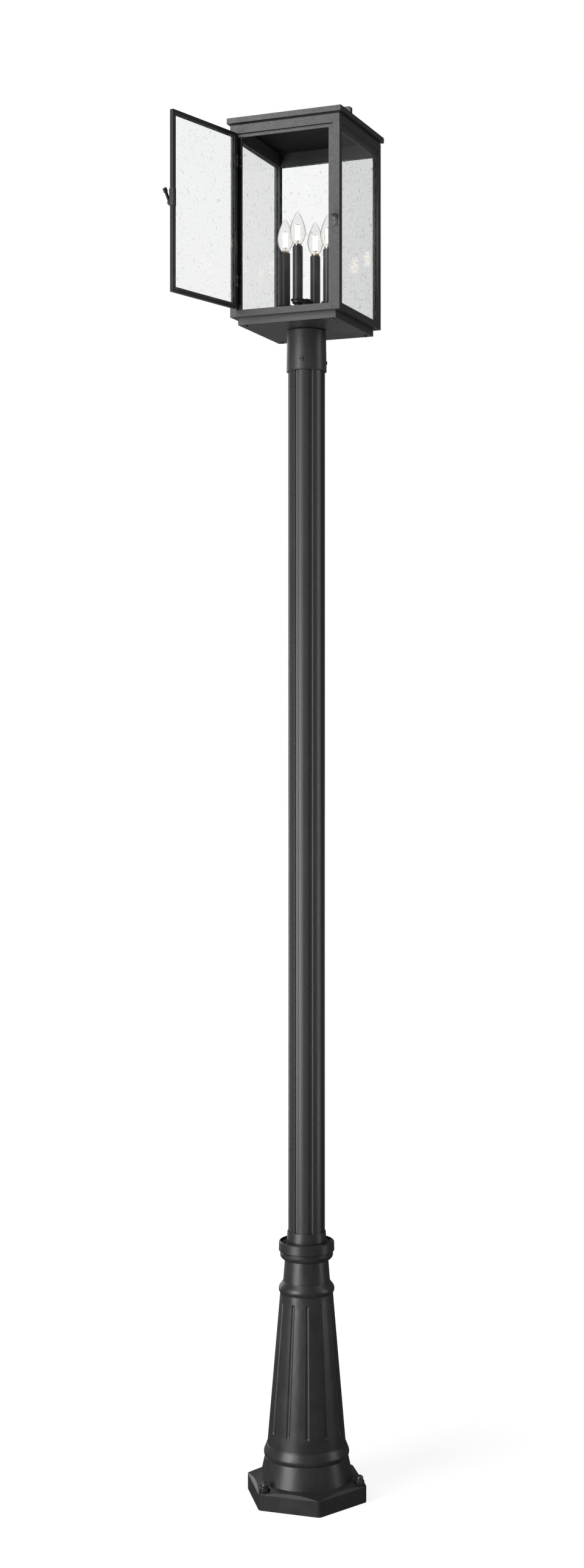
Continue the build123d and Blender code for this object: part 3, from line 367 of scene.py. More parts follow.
class Socket:
    """A node's output that can stand in an expression; each operation adds a Math node."""

    def __init__(self, recipe, socket):
        self.recipe = recipe
        self.socket = socket

    def out(self, name):
        """Another output of the same node."""
        return Socket(self.recipe, self.socket.node.outputs[name])

    def _math(self, operation, *values):
        return self.recipe.node("Math", dict(enumerate(values)), operation=operation)

    def __add__(self, other):
        return self._math("ADD", self, other)

    def __radd__(self, other):
        return self._math("ADD", other, self)

    def __sub__(self, other):
        return self._math("SUBTRACT", self, other)

    def __rsub__(self, other):
        return self._math("SUBTRACT", other, self)

    def __mul__(self, other):
        return self._math("MULTIPLY", self, other)

    def __rmul__(self, other):
        return self._math("MULTIPLY", other, self)

    def __truediv__(self, other):
        return self._math("DIVIDE", self, other)

    def __rtruediv__(self, other):
        return self._math("DIVIDE", other, self)

    def __lt__(self, other):
        return self._math("LESS_THAN", self, other)

    def __gt__(self, other):
        return self._math("GREATER_THAN", self, other)

    def larger(self, other):
        """The larger of this and another value."""
        return self._math("MAXIMUM", self, other)


class Recipe:
    """A node tree under construction."""

    def __init__(self, tree):
        self.tree = tree
        tree.nodes.clear()

    def node(self, kind, sockets=None, output=0, **options):
        """Adds a node: its options first, then its sockets."""
        made = self.tree.nodes.new("ShaderNode" + kind)
        for name, value in options.items():
            setattr(made, name, value)
        for name, value in (sockets or {}).items():
            if isinstance(value, Socket):
                self.tree.links.new(value.socket, made.inputs[name])
            elif hasattr(made.inputs[name].default_value, "__len__") and len(value) == 3:
                wanted = len(made.inputs[name].default_value)
                made.inputs[name].default_value = (*value, 1.0)[:wanted]
            else:
                made.inputs[name].default_value = value
        return Socket(self, made.outputs[output] if len(made.outputs) else None)

    def blend(self, factor, first, second):
        """A colour between two colours."""
        return self.node("Mix", {0: factor, 6: first, 7: second}, output=2, data_type="RGBA")

    def ease(self, value, low, high):
        """0 at low, 1 at high, and a smooth rise between them."""
        sockets = {"Value": value, "From Min": low, "From Max": high}
        return self.node("MapRange", sockets, interpolation_type="SMOOTHSTEP")

    def place(self):
        """Coordinates in the object's own space, in metres."""
        return self.node("TexCoord").out("Object")

    def stretch(self, vector, scale):
        """A vector with each part multiplied."""
        return self.node("VectorMath", {0: vector, 1: scale}, operation="MULTIPLY")

    def noise(self, vector, size, detail=2.0):
        """Noise whose features are about this size in metres."""
        sockets = {"Vector": vector, "Scale": 1.0 / size, "Detail": detail}
        return self.node("TexNoise", sockets)

    def bump(self, height, distance):
        """A normal from a height."""
        return self.node("Bump", {"Strength": 1.0, "Distance": distance, "Height": height})


class Finish(Recipe):
    """A material and the nodes that make it."""

    def __init__(self, name):
        self.material = bpy.data.materials.new(name)
        self.material.use_nodes = True
        super().__init__(self.material.node_tree)

    def surface(self, shader):
        """Ends the tree with this shader and gives the material."""
        self.node("OutputMaterial", {"Surface": shader})
        return self.material

    def clear_surface(self, shader, shadow_tint):
        """Ends the tree with a glass that casts only a pale shadow."""
        clear = self.node("BsdfTransparent", {"Color": shadow_tint})
        shadow = self.node("LightPath").out("Is Shadow Ray")
        return self.surface(self.node("MixShader", {0: shadow, 1: shader, 2: clear}))


# ---------------------------------------------------------------- finishes


def powder_coat(name, lighten=1.0, grain=1.0, depth=1.0, roughness=None, shine=0.5):
    """Black powder coat: fine speckle, orange peel and slightly uneven gloss."""
    coat = settings().coat
    base = [c * lighten for c in coat.colour]
    matt = coat.roughness if roughness is None else roughness
    finish = Finish(name)
    place = finish.place()
    fine = finish.noise(place, coat.grain * grain, 3.0)
    peel = finish.noise(place, coat.grain * grain * 4.2, 1.0)
    drift = finish.noise(place, 0.11, 2.0)
    speck = finish.ease(fine, 0.36, 0.68)
    shade = finish.blend(speck, [c * 0.55 for c in base], [c * 1.75 for c in base])
    colour = finish.blend(drift * 0.22, shade, [c * 1.9 for c in base])
    rough = matt - 0.07 + (1.0 - speck) * 0.14 + (drift - 0.5) * 0.10
    height = fine * 0.62 + peel * 0.9
    shader = finish.node(
        "BsdfPrincipled",
        {
            "Base Color": colour,
            "Roughness": rough,
            "Specular IOR Level": shine,
            "Normal": finish.bump(height, coat.grain_depth * depth),
        },
    )
    return finish.surface(shader)


def cast_coat(name, lighten=1.0, roughness=0.36, depth=1.0):
    """Black paint on cast metal: satin, with soft hollows and pits of the casting under it."""
    base = [c * lighten for c in settings().coat.colour]
    finish = Finish(name)
    place = finish.place()
    swell = finish.noise(finish.stretch(place, (1.0, 1.0, 0.4)), 0.016, 2.0)
    fine = finish.noise(place, 0.0016, 3.0)
    cloud = finish.noise(place, 0.035, 4.0)
    pits = finish.ease(finish.noise(place, 0.006, 2.0), 0.66, 0.78)
    colour = finish.blend(cloud, [c * 0.6 for c in base], [c * 1.5 for c in base])
    height = swell * 1.6 + fine * 0.42 - pits * 0.5
    shader = finish.node(
        "BsdfPrincipled",
        {
            "Base Color": colour,
            "Roughness": roughness - 0.05 + cloud * 0.08 + fine * 0.05,
            "Specular IOR Level": 0.5,
            "Normal": finish.bump(height, 0.00022 * depth),
        },
    )
    return finish.surface(shader)


def black_steel(name, level, roughness):
    """Blackened steel for screws, nuts and pins: smooth, with handling marks."""
    finish = Finish(name)
    place = finish.place()
    cloud = finish.noise(place, 0.006, 3.0)
    fine = finish.noise(place, 0.0008, 2.0)
    mark = finish.ease(cloud, 0.52, 0.72)
    handled = level * 2.3
    colour = finish.blend(mark, (level, level, level * 1.05), (handled, handled, handled))
    rough = roughness + (cloud - 0.5) * 0.22
    shader = finish.node(
        "BsdfPrincipled",
        {
            "Base Color": colour,
            "Roughness": rough,
            "Metallic": 0.55,
            "Normal": finish.bump(fine, 0.00002),
        },
    )
    return finish.surface(shader)


def bright_metal(name, colour, roughness):
    """Plated or turned metal with fine turning lines and a little tarnish."""
    finish = Finish(name)
    place = finish.place()
    lines = finish.noise(finish.stretch(place, (60.0, 60.0, 2600.0)), 1.0, 1.0)
    cloud = finish.noise(place, 0.004, 3.0)
    tarnish = finish.ease(cloud, 0.5, 0.75)
    tone = finish.blend(tarnish * 0.5, colour, [c * 0.62 for c in colour])
    shader = finish.node(
        "BsdfPrincipled",
        {
            "Base Color": tone,
            "Roughness": roughness + (lines - 0.5) * 0.2,
            "Metallic": 1.0,
            "Normal": finish.bump(lines, 0.00002),
        },
    )
    return finish.surface(shader)


def satin_plastic(name, colour, roughness=0.42):
    """Moulded plastic with a faint texture and flow marks."""
    finish = Finish(name)
    place = finish.place()
    fine = finish.noise(place, 0.0007, 2.0)
    flow = finish.noise(finish.stretch(place, (1.0, 1.0, 0.25)), 0.012, 2.0)
    tone = finish.blend(flow, [c * 0.8 for c in colour], [c * 1.25 for c in colour])
    shader = finish.node(
        "BsdfPrincipled",
        {
            "Base Color": tone,
            "Roughness": roughness + (flow - 0.5) * 0.12,
            "Normal": finish.bump(fine, 0.00002),
        },
    )
    return finish.surface(shader)


def gasket_rubber(name):
    """Dull black rubber with a dusting of talc."""
    finish = Finish(name)
    place = finish.place()
    dust = finish.ease(finish.noise(place, 0.004, 4.0), 0.45, 0.8)
    tone = finish.blend(dust, (0.012, 0.012, 0.012), (0.05, 0.05, 0.05))
    fine = finish.noise(place, 0.0006, 2.0)
    shader = finish.node(
        "BsdfPrincipled",
        {
            "Base Color": tone,
            "Roughness": 0.72 + dust * 0.15,
            "Normal": finish.bump(fine, 0.00004),
        },
    )
    return finish.surface(shader)


def clear_seal(name):
    """Bead of sealant along a pane, cloudy grey green over the dark edge of the glass."""
    finish = Finish(name)
    place = finish.place()
    cloud = finish.noise(finish.stretch(place, (1.0, 1.0, 0.3)), 0.004, 3.0)
    fine = finish.noise(place, 0.0011, 2.0)
    deep = finish.ease(cloud, 0.40, 0.62)
    shader = finish.node(
        "BsdfPrincipled",
        {
            "Base Color": finish.blend(deep, (0.010, 0.020, 0.021), (0.105, 0.150, 0.150)),
            "Roughness": 0.22 + fine * 0.2,
            "Normal": finish.bump(fine, 0.0001),
        },
    )
    return finish.surface(shader)


def seeded_glass(name):
    """Clear pane glass with small drawn-out bubbles and gentle waves."""
    glass = settings().glass
    finish = Finish(name)
    place = finish.place()
    parts = finish.node("SeparateXYZ", {0: place})
    across = parts + parts.out("Y")
    flat = finish.node("CombineXYZ", {0: across, 1: parts.out("Z")})

    def seeds(spacing, drawn, radius, share, shift):
        cell = (1.0 / spacing, 1.0 / (spacing * drawn), 1.0)
        offset = (shift, shift * 0.7, 0.0)
        moved = finish.node("VectorMath", {0: flat, 1: offset}, operation="ADD")
        sockets = {"Vector": finish.stretch(moved, cell), "Scale": 1.0}
        near = finish.node("TexVoronoi", sockets, voronoi_dimensions="2D")
        chance = finish.node("SeparateColor", {0: near.out("Color")})
        size = (radius / spacing) * (chance.out("Green") * 0.9 + 0.35)
        body = 1.0 - finish.ease(near / size, 0.35, 1.0)
        return body * (chance < share)

    dots = seeds(glass.seed_spacing, 1.3, 0.00080, 0.22, 0.31)
    small = seeds(glass.seed_spacing * 0.62, 2.0, 0.00046, 0.40, 0.13)
    dashes = seeds(glass.seed_spacing * 0.8, 7.0, 0.00060, 0.30, 0.77)
    seed = dots.larger(dashes).larger(small)
    ripple = finish.noise(finish.stretch(place, (1.0, 1.0, 0.6)), 0.0042, 1.0)
    wave = ripple * 0.45 + finish.noise(place, 0.013, 1.0) * 0.7
    height = wave + seed * 0.8
    # the bubbles' dark look is painted shade in the base colour; their bump is real
    shader = finish.node(
        "BsdfPrincipled",
        {
            "Base Color": finish.blend(seed * 0.9, glass.tint, glass.bubble_painted_shade),
            "Roughness": 0.0,
            "IOR": 1.47,
            "Transmission Weight": 1.0,
            "Normal": finish.bump(height, glass.wave),
        },
    )
    return finish.clear_surface(shader, (0.93, 0.94, 0.94))


def bulb_shell_glass(name):
    """Thin clear lamp glass, with painted shade where it is seen edge on."""
    finish = Finish(name)
    edge = finish.node("LayerWeight", {"Blend": 0.5}).out("Facing")
    cloud = finish.noise(finish.place(), 0.006, 2.0)
    # painted shade: the glass darkens towards its outline, where refraction would darken it
    painted_rim_shade = finish.ease(edge, 0.60, 0.88) * (cloud * 0.3 + 0.85)
    shader = finish.node(
        "BsdfPrincipled",
        {
            "Base Color": finish.blend(painted_rim_shade, (0.985, 0.985, 0.98), (0.30, 0.31, 0.31)),
            "Roughness": 0.0,
            "IOR": 1.01,
            "Transmission Weight": 1.0,
            "Coat Weight": 0.6,
            "Coat Roughness": 0.02,
        },
    )
    return finish.clear_surface(shader, (0.97, 0.97, 0.96))


def lit_filament(name):
    """A warm glowing stick, a little brighter along its middle."""
    lamps = settings().lamps
    finish = Finish(name)
    place = finish.place()
    beads = finish.noise(finish.stretch(place, (1.0, 1.0, 0.6)), 0.0012, 1.0)
    core = finish.blend(beads * 0.6, lamps.glow, (1.0, 0.93, 0.76))
    edge = finish.node("LayerWeight", {"Blend": 0.5}).out("Facing")
    tone = finish.blend(finish.ease(edge, 0.35, 0.75), core, (0.15, 0.085, 0.025))
    shader = finish.node(
        "BsdfPrincipled",
        {
            "Base Color": (0.9, 0.75, 0.35),
            "Roughness": 0.5,
            "Emission Color": tone,
            "Emission Strength": lamps.glow_strength,
        },
    )
    return finish.surface(shader)


# what each slot is finished with: the material's name, its function and the function's values
SLOT_FINISHES = {
    "black_casting": ("textured_black_coat", powder_coat, {}),
    "black_sheet": ("sheet_black_coat", powder_coat, {"grain": 0.8, "depth": 0.8}),
    "black_steel": ("blackened_steel", black_steel, {"level": 0.05, "roughness": 0.27}),
    "bright_steel": (
        "satin_steel",
        bright_metal,
        {"colour": (0.42, 0.42, 0.44), "roughness": 0.32},
    ),
    "pane_glass": ("seeded_pane_glass", seeded_glass, {}),
    "bulb_glass": ("lamp_shell_glass", bulb_shell_glass, {}),
    "lamp_brass": (
        "lamp_cap_metal",
        bright_metal,
        {"colour": (0.78, 0.70, 0.56), "roughness": 0.16},
    ),
    "filament": ("lit_filament", lit_filament, {}),
    "black_plastic": ("holder_plastic", satin_plastic, {"colour": (0.02, 0.02, 0.02)}),
    "gasket_rubber": ("gasket_rubber", gasket_rubber, {}),
}


def finish_of(slot):
    """The finish of one material slot, made once."""
    name, make, values = SLOT_FINISHES[slot]
    return bpy.data.materials.get(name) or make(name, **values)


# ---------------------------------------------------------------- meshes


def across_flats(angle, flats):
    """Distance from the axis to a hexagon's side at an angle."""
    turn = (angle + pi / 6) % (pi / 3) - pi / 6
    return 0.5 * flats / cos(turn)


def turn_profile(mesh, place, profile, segments=48):
    """Adds a turned form about the place's Z. A level is (radius, height) or (radius, height,
    flats), where flats cuts the ring back to a hexagon. Sizes are in millimetres."""
    rings = []
    for level in profile:
        radius, height = level[:2]
        if radius < 1e-6:
            rings.append([mesh.verts.new(place @ Vector((0, 0, height * MM)))])
            continue
        ring = []
        for k in range(segments):
            angle = 2 * pi * k / segments
            reach = radius if len(level) < 3 else min(radius, across_flats(angle, level[2]))
            spot = Vector((reach * cos(angle), reach * sin(angle), height)) * MM
            ring.append(mesh.verts.new(place @ spot))
        rings.append(ring)
    for low, high in zip(rings, rings[1:]):
        if len(low) == 1 and len(high) == 1:
            continue
        for k in range(segments):
            after = (k + 1) % segments
            if len(low) == 1:
                mesh.faces.new((low[0], high[after], high[k]))
            elif len(high) == 1:
                mesh.faces.new((low[k], low[after], high[0]))
            else:
                mesh.faces.new((low[k], low[after], high[after], high[k]))


def rod_along(mesh, points, radius, segments):
    """Adds a round rod with closed ends along points in metres."""
    rings = []
    side = Vector((1, 0, 0))
    for k, point in enumerate(points):
        before = points[max(k - 1, 0)]
        after = points[min(k + 1, len(points) - 1)]
        along = (Vector(after) - Vector(before)).normalized()
        side = (side - along * side.dot(along)).normalized()
        if side.length < 0.5:
            side = along.orthogonal().normalized()
        other = along.cross(side)
        ring = []
        for j in range(segments):
            angle = 2 * pi * j / segments
            reach = side * cos(angle) + other * sin(angle)
            ring.append(mesh.verts.new(Vector(point) + reach * radius))
        rings.append(ring)
    for low, high in zip(rings, rings[1:]):
        for j in range(segments):
            after = (j + 1) % segments
            mesh.faces.new((low[j], low[after], high[after], high[j]))
    mesh.faces.new(list(reversed(rings[0])))
    mesh.faces.new(rings[-1])


def curve_between(a, b, c, d, t):
    """A smooth value from b at t 0 to c at t 1, that also heeds a before and d after them."""
    slope = (c - a) * t
    bend = (2 * a - 5 * b + 4 * c - d) * t * t
    twist = (3 * b - a - 3 * c + d) * t * t * t
    return 0.5 * (2 * b + slope + bend + twist)


def smooth_line(points, steps=4):
    """Points on a smooth curve through the given (radius, height) pairs."""
    made = []
    for k in range(len(points) - 1):
        a, b, c = points[max(k - 1, 0)], points[k], points[k + 1]
        d = points[min(k + 2, len(points) - 1)]
        for j in range(steps):
            t = j / steps
            radius, height = (curve_between(*ends, t) for ends in zip(a, b, c, d))
            made.append((max(radius, 0.0), height))
    made.append(points[-1])
    return made


def without_glare(*pieces):
    """Keeps the studio lamps' own mirror images off clear pieces."""
    name = "clear_pieces"
    spared = bpy.data.collections.get(name) or bpy.data.collections.new(name)
    for made in pieces:
        spared.objects.link(made)
        spared.collection_objects[-1].light_linking.link_state = "EXCLUDE"
    for lamp in bpy.data.objects:
        if lamp.type == "LIGHT" and lamp.data.type == "AREA":
            lamp.light_linking.receiver_collection = spared


def stand(angle, radius, height):
    """A place on a circle round the post, Z up and X outward, from millimetres and degrees."""
    turn = Matrix.Rotation(radians(angle), 4, "Z")
    return turn @ Matrix.Translation(Vector((radius, 0, height)) * MM)


def piece(name, mesh, body, slot, *nodes, crease=35.0, finish=None):
    """Makes an object of a mesh, sets it on its body, gives it its slot's finish and hides the
    nodes it replaces.
    """
    bmesh.ops.recalc_face_normals(mesh, faces=mesh.faces)
    data = bpy.data.meshes.new(name)
    mesh.to_mesh(data)
    mesh.free()
    data.shade_smooth()
    data.set_sharp_from_angle(angle=radians(crease))
    made = bpy.data.objects.new(name, data)
    bpy.context.scene.collection.objects.link(made)
    data.materials.append(finish or finish_of(slot))
    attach(made, body)
    if nodes:
        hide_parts(*nodes)
    return made


def dress(*nodes, finish=None, round_edges=False, edge_scale=1.0):
    """Gives CAD nodes their finish, and rounds their sharp edges where asked."""
    slots = {part["node"]: part["material_slot"] for part in frame["record"]["subparts"]}
    for node in nodes:
        made = frame["nodes"][node]
        material = finish or finish_of(slots[node])
        made.data.materials.clear()
        made.data.materials.append(material)
        if round_edges:
            weld = made.modifiers.new("weld", "WELD")
            weld.merge_threshold = 0.00001
            edge = made.modifiers.new("round_edges", "BEVEL")
            edge.width = settings().coat.edge * edge_scale
            edge.segments = 2
            edge.limit_method = "ANGLE"
            edge.angle_limit = radians(50)
            edge.harden_normals = True
            edge.use_clamp_overlap = True


# ---------------------------------------------------------------- operators


class LanternOperator:
    """Shared by the operators that build the lantern."""

    bl_options = {"REGISTER", "UNDO"}

    def execute(self, context):
        self.build(context)
        return {"FINISHED"}


class LANTERN_OT_studio(LanternOperator, bpy.types.Operator):
    """Camera, soft lamps, pale floor and background"""

    bl_idname = "lantern.studio"
    bl_label = "Studio"

    def build(self, context):
        studio = settings().studio
        camera = bpy.data.objects.new("camera", bpy.data.cameras.new("camera"))
        camera.data.lens = CAMERA_LENS
        camera.data.sensor_width = 36.0
        camera.data.shift_x, camera.data.shift_y = CAMERA_SHIFT
        camera.data.clip_end = 200.0
        turn = radians(CAMERA_TURN)
        right, forward = CAMERA_DISTANCE * sin(turn), -CAMERA_DISTANCE * cos(turn)
        camera.location = (right, forward, CAMERA_HEIGHT)
        camera.rotation_euler = (radians(90), 0, turn)
        context.scene.collection.objects.link(camera)
        context.scene.camera = camera
        context.scene.view_settings.view_transform = "Standard"
        for name, stance in SOFT_LAMPS.items():
            self.soft_lamp(name + "_lamp", *stance, getattr(studio, name + "_power"))
        self.floor(context, studio)
        self.background(context, studio)

    def soft_lamp(self, name, angle, distance, height, size, power):
        """A tall soft lamp that stands round the post and faces it."""
        lamp = bpy.data.lights.new(name, "AREA")
        lamp.shape = "RECTANGLE"
        lamp.size, lamp.size_y = size
        lamp.energy = power
        made = bpy.data.objects.new(name, lamp)
        turn = radians(angle)
        made.location = (distance * cos(turn), distance * sin(turn), height)
        made.rotation_euler = (radians(90), 0, turn + pi / 2)
        bpy.context.scene.collection.objects.link(made)

    def seen(self, recipe):
        """1 where the background is seen directly or through glass, and 1 where it is mirrored."""
        path = recipe.node("LightPath")
        mirrored = path.out("Is Glossy Ray") * (path.out("Glossy Depth") > 0.5)
        direct = path.larger(path.out("Is Transmission Ray")) * (1.0 - mirrored)
        return direct, mirrored

    def floor(self, context, studio):
        """A wide floor, white to the camera and with the lantern's soft shadow."""
        mesh = bmesh.new()
        bmesh.ops.create_circle(mesh, cap_ends=True, segments=96, radius=40.0)
        data = bpy.data.meshes.new("floor")
        mesh.to_mesh(data)
        mesh.free()
        floor = bpy.data.objects.new("floor", data)
        floor.location = (0, 0, -0.0005)
        context.scene.collection.objects.link(floor)
        finish = Finish("pale_floor")
        direct, mirrored = self.seen(finish)
        distance = finish.node(
            "VectorMath", {0: finish.place()}, output="Value", operation="LENGTH"
        )
        far = finish.ease(distance, 0.35, 1.7)
        plain = finish.node("BsdfDiffuse", {"Color": (0.80, 0.80, 0.80)})
        white = finish.node("Emission", {"Color": WHITE, "Strength": 1.25})
        rise = studio.floor_level - NEAR_FLOOR_LEVEL
        level = finish.ease(distance, 2.5, 7.0) * rise + NEAR_FLOOR_LEVEL
        tone = finish.blend(level, BLACK, WHITE)
        dim = finish.node("Emission", {"Color": tone, "Strength": 1.0})
        factor = direct * (far * 0.3 + 0.7)
        near = finish.node("MixShader", {0: factor, 1: plain, 2: white})
        shader = finish.node("MixShader", {0: mirrored, 1: near, 2: dim})
        data.materials.append(finish.surface(shader))

    def background(self, context, studio):
        """A white background that is seen directly, through glass and in reflections."""
        world = bpy.data.worlds.new("studio_white")
        world.use_nodes = True
        context.scene.world = world
        recipe = Recipe(world.node_tree)
        direct, mirrored = self.seen(recipe)
        level = direct.larger((mirrored * studio.glossy_level).larger(studio.fill_level))
        tone = recipe.blend(level, BLACK, WHITE)
        recipe.node("OutputWorld", {0: recipe.node("Background", {"Color": tone, "Strength": 1.0})})


class LANTERN_OT_base(LanternOperator, bpy.types.Operator):
    """Finish of the base casting, the post and its collars"""

    bl_idname = "lantern.base"
    bl_label = "Base and post"

    def build(self, context):
        cast = cast_coat("cast_black_coat")
        dress("base_casting", "post_collar", finish=cast)
        dress("post_shaft", finish=powder_coat("post_black_coat", 1.1, 0.8, 0.35, 0.36))
        # painted light: the fitter collar gets a lighter copy of the black coat
        dress("fitter_collar", finish=powder_coat("fitter_black_coat", 1.2, 1.0, 0.7, 0.40))


class LANTERN_OT_anchors(LanternOperator, bpy.types.Operator):
    """Washers and capped nuts on the foot"""

    bl_idname = "lantern.anchors"
    bl_label = "Anchor nuts"

    def build(self, context):
        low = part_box("anchor_nuts")[0].z / MM
        washer_low, washer_high = (corner.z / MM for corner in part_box("anchor_washers"))
        thick = washer_high - washer_low
        nuts, washers = bmesh.new(), bmesh.new()
        dome = [
            (NUT_DOME_RADIUS * cos(radians(t)), NUT_DOME_HEIGHT + NUT_DOME_RADIUS * sin(radians(t)))
            for t in range(0, 90, 10)
        ]
        top = NUT_DOME_HEIGHT + NUT_DOME_RADIUS
        nut = [(0, 0), *NUT_SIDES_OUTLINE, *NUT_NECK_OUTLINE, *dome, (0, top)]
        washer = [
            (WASHER_BORE, 0),
            (WASHER_RADIUS - WASHER_EDGE, 0),
            (WASHER_RADIUS, WASHER_EDGE),
            (WASHER_RADIUS, thick - WASHER_EDGE),
            (WASHER_RADIUS - WASHER_EDGE, thick),
            (WASHER_BORE, thick),
        ]
        for angle in ANCHOR_ANGLES:
            turn_profile(nuts, stand(angle, ANCHOR_CIRCLE, low), nut)
            turn_profile(washers, stand(angle, ANCHOR_CIRCLE, washer_low), washer)
        piece("anchor_cap_nuts", nuts, "lantern", "black_steel", "anchor_nuts", crease=30)
        piece("anchor_flat_washers", washers, "lantern", "black_steel", "anchor_washers")


class LANTERN_OT_frame(LanternOperator, bpy.types.Operator):
    """Finish of the lantern's frame, floor and pan"""

    bl_idname = "lantern.frame"
    bl_label = "Frame"

    def build(self, context):
        dress("corner_posts", "sill_rails", "top_rails", "door_stops", round_edges=True)
        dress("header_frame", "bottom_pan", "floor_plate", round_edges=True)
        # painted shade: the ceiling inside the lantern gets the black coat at half its colour
        inner = powder_coat("inner_black_coat", 0.5, 1.0, 0.5, 0.6, 0.12)
        dress("ceiling_plate", finish=inner, round_edges=True)
        dress("through_nipple", "nipple_nuts", "header_screws", "pan_screws")


class LANTERN_OT_roof(LanternOperator, bpy.types.Operator):
    """Finish of the roof, its gasket and handle"""

    bl_idname = "lantern.roof"
    bl_label = "Roof"

    def build(self, context):
        dress("roof_cap", "roof_handle", round_edges=True)
        dress("roof_gasket", "roof_screws", "handle_screws")


class LANTERN_OT_door(LanternOperator, bpy.types.Operator):
    """Finish of the door, its hinges and latch"""

    bl_idname = "lantern.door"
    bl_label = "Door and latch"

    def build(self, context):
        # painted shade: the door frame gets a darker copy of the black coat
        coat = powder_coat("door_black_coat", 0.8, 1.0, 0.6, 0.40, 0.32)
        # painted highlight: the bead gets a lighter copy of the black coat, for the bright line
        # along the frame's edge
        bead = powder_coat("bead_black_coat", 1.6, 0.8, 0.3, 0.26)
        dress("door_frame", finish=coat, round_edges=True)
        dress("door_bead", finish=bead, round_edges=True, edge_scale=1.6)
        dress("hinge_fixed_leaves", "hinge_moving_leaves", "hinge_pins")
        dress("hinge_post_screws", "hinge_door_screws")
        dress("latch_clip", "latch_pivot", "latch_lever", "latch_keeper", "keeper_screws")


class LANTERN_OT_panes(LanternOperator, bpy.types.Operator):
    """Seeded glass of the panes"""

    bl_idname = "lantern.panes"
    bl_label = "Panes"

    def build(self, context):
        panes = ("glass_left", "glass_right", "glass_back", "glass_door")
        dress(*panes)
        up, side, back = Vector((0, 0, 1)), Vector((1, 0, 0)), Vector((0, 1, 0))
        fixed, hung = bmesh.new(), bmesh.new()
        low, width, height = OPENING_LOW, 2 * OPENING_HALF, OPENING_HEIGHT
        for sign in (-1, 1):
            for out in (-1, 1):
                corner = Vector((sign * PANE_PLANE + out * PANE_HALF, -OPENING_HALF, low))
                self.seal(fixed, corner, back, up, side * out, width, height)
            corner = Vector((-OPENING_HALF, PANE_PLANE + sign * PANE_HALF, low))
            self.seal(fixed, corner, side, up, back * sign, width, height)
        turn = Matrix.Rotation(radians(DOOR_TURN), 3, "Z")
        along, inward = turn @ side, turn @ back
        start = Vector((*DOOR_PIN, DOOR_OPENING_LOW)) + along * DOOR_OPENING_START
        for depth, sign in DOOR_PANE_FACES:
            corner = start + inward * depth
            out = inward * sign
            self.seal(hung, corner, along, up, out, DOOR_OPENING_WIDTH, DOOR_OPENING_HEIGHT)
        sealant = clear_seal("pane_sealant")
        piece("pane_seals", fixed, "lantern", "gasket_rubber", finish=sealant)
        piece("door_pane_seals", hung, "door", "gasket_rubber", finish=sealant)
        without_glare(*(frame["nodes"][node] for node in panes))

    def seal(self, mesh, corner, along, up, out, width, height):
        """A fillet of sealant round a pane's opening, in millimetres."""
        loops = []
        band, rise, gap = SEAL_BAND, SEAL_RISE, SEAL_GAP
        for inset, lift in ((gap, gap), (gap, rise), (band * 0.6, rise * 0.65), (band, gap)):
            wide, high = width - inset, height - inset
            ring = []
            for a, b in ((inset, inset), (wide, inset), (wide, high), (inset, high)):
                ring.append(mesh.verts.new((corner + along * a + up * b + out * lift) * MM))
            loops.append(ring)
        for low, high in zip(loops, loops[1:] + loops[:1]):
            for k in range(4):
                after = (k + 1) % 4
                mesh.faces.new((low[k], low[after], high[after], high[k]))


class LANTERN_OT_candles(LanternOperator, bpy.types.Operator):
    """Finish of the candle arms, cups, sleeves and holders"""

    bl_idname = "lantern.candles"
    bl_label = "Candles"

    def build(self, context):
        dress("candle_hub", "hub_cap", "candle_arms", "drip_cups")
        # painted light: the candle sleeves get a lighter copy of the cast black coat
        dress("candle_sleeves", finish=cast_coat("sleeve_black_coat", 1.7, 0.32, 0.4))
        dress("socket_supports", "lamp_holders")


class LANTERN_OT_screws(LanternOperator, bpy.types.Operator):
    """Finish of the screws on the post's collars"""

    bl_idname = "lantern.screws"
    bl_label = "Collar screws"

    def build(self, context):
        dress("collar_screws", "fitter_set_screws")


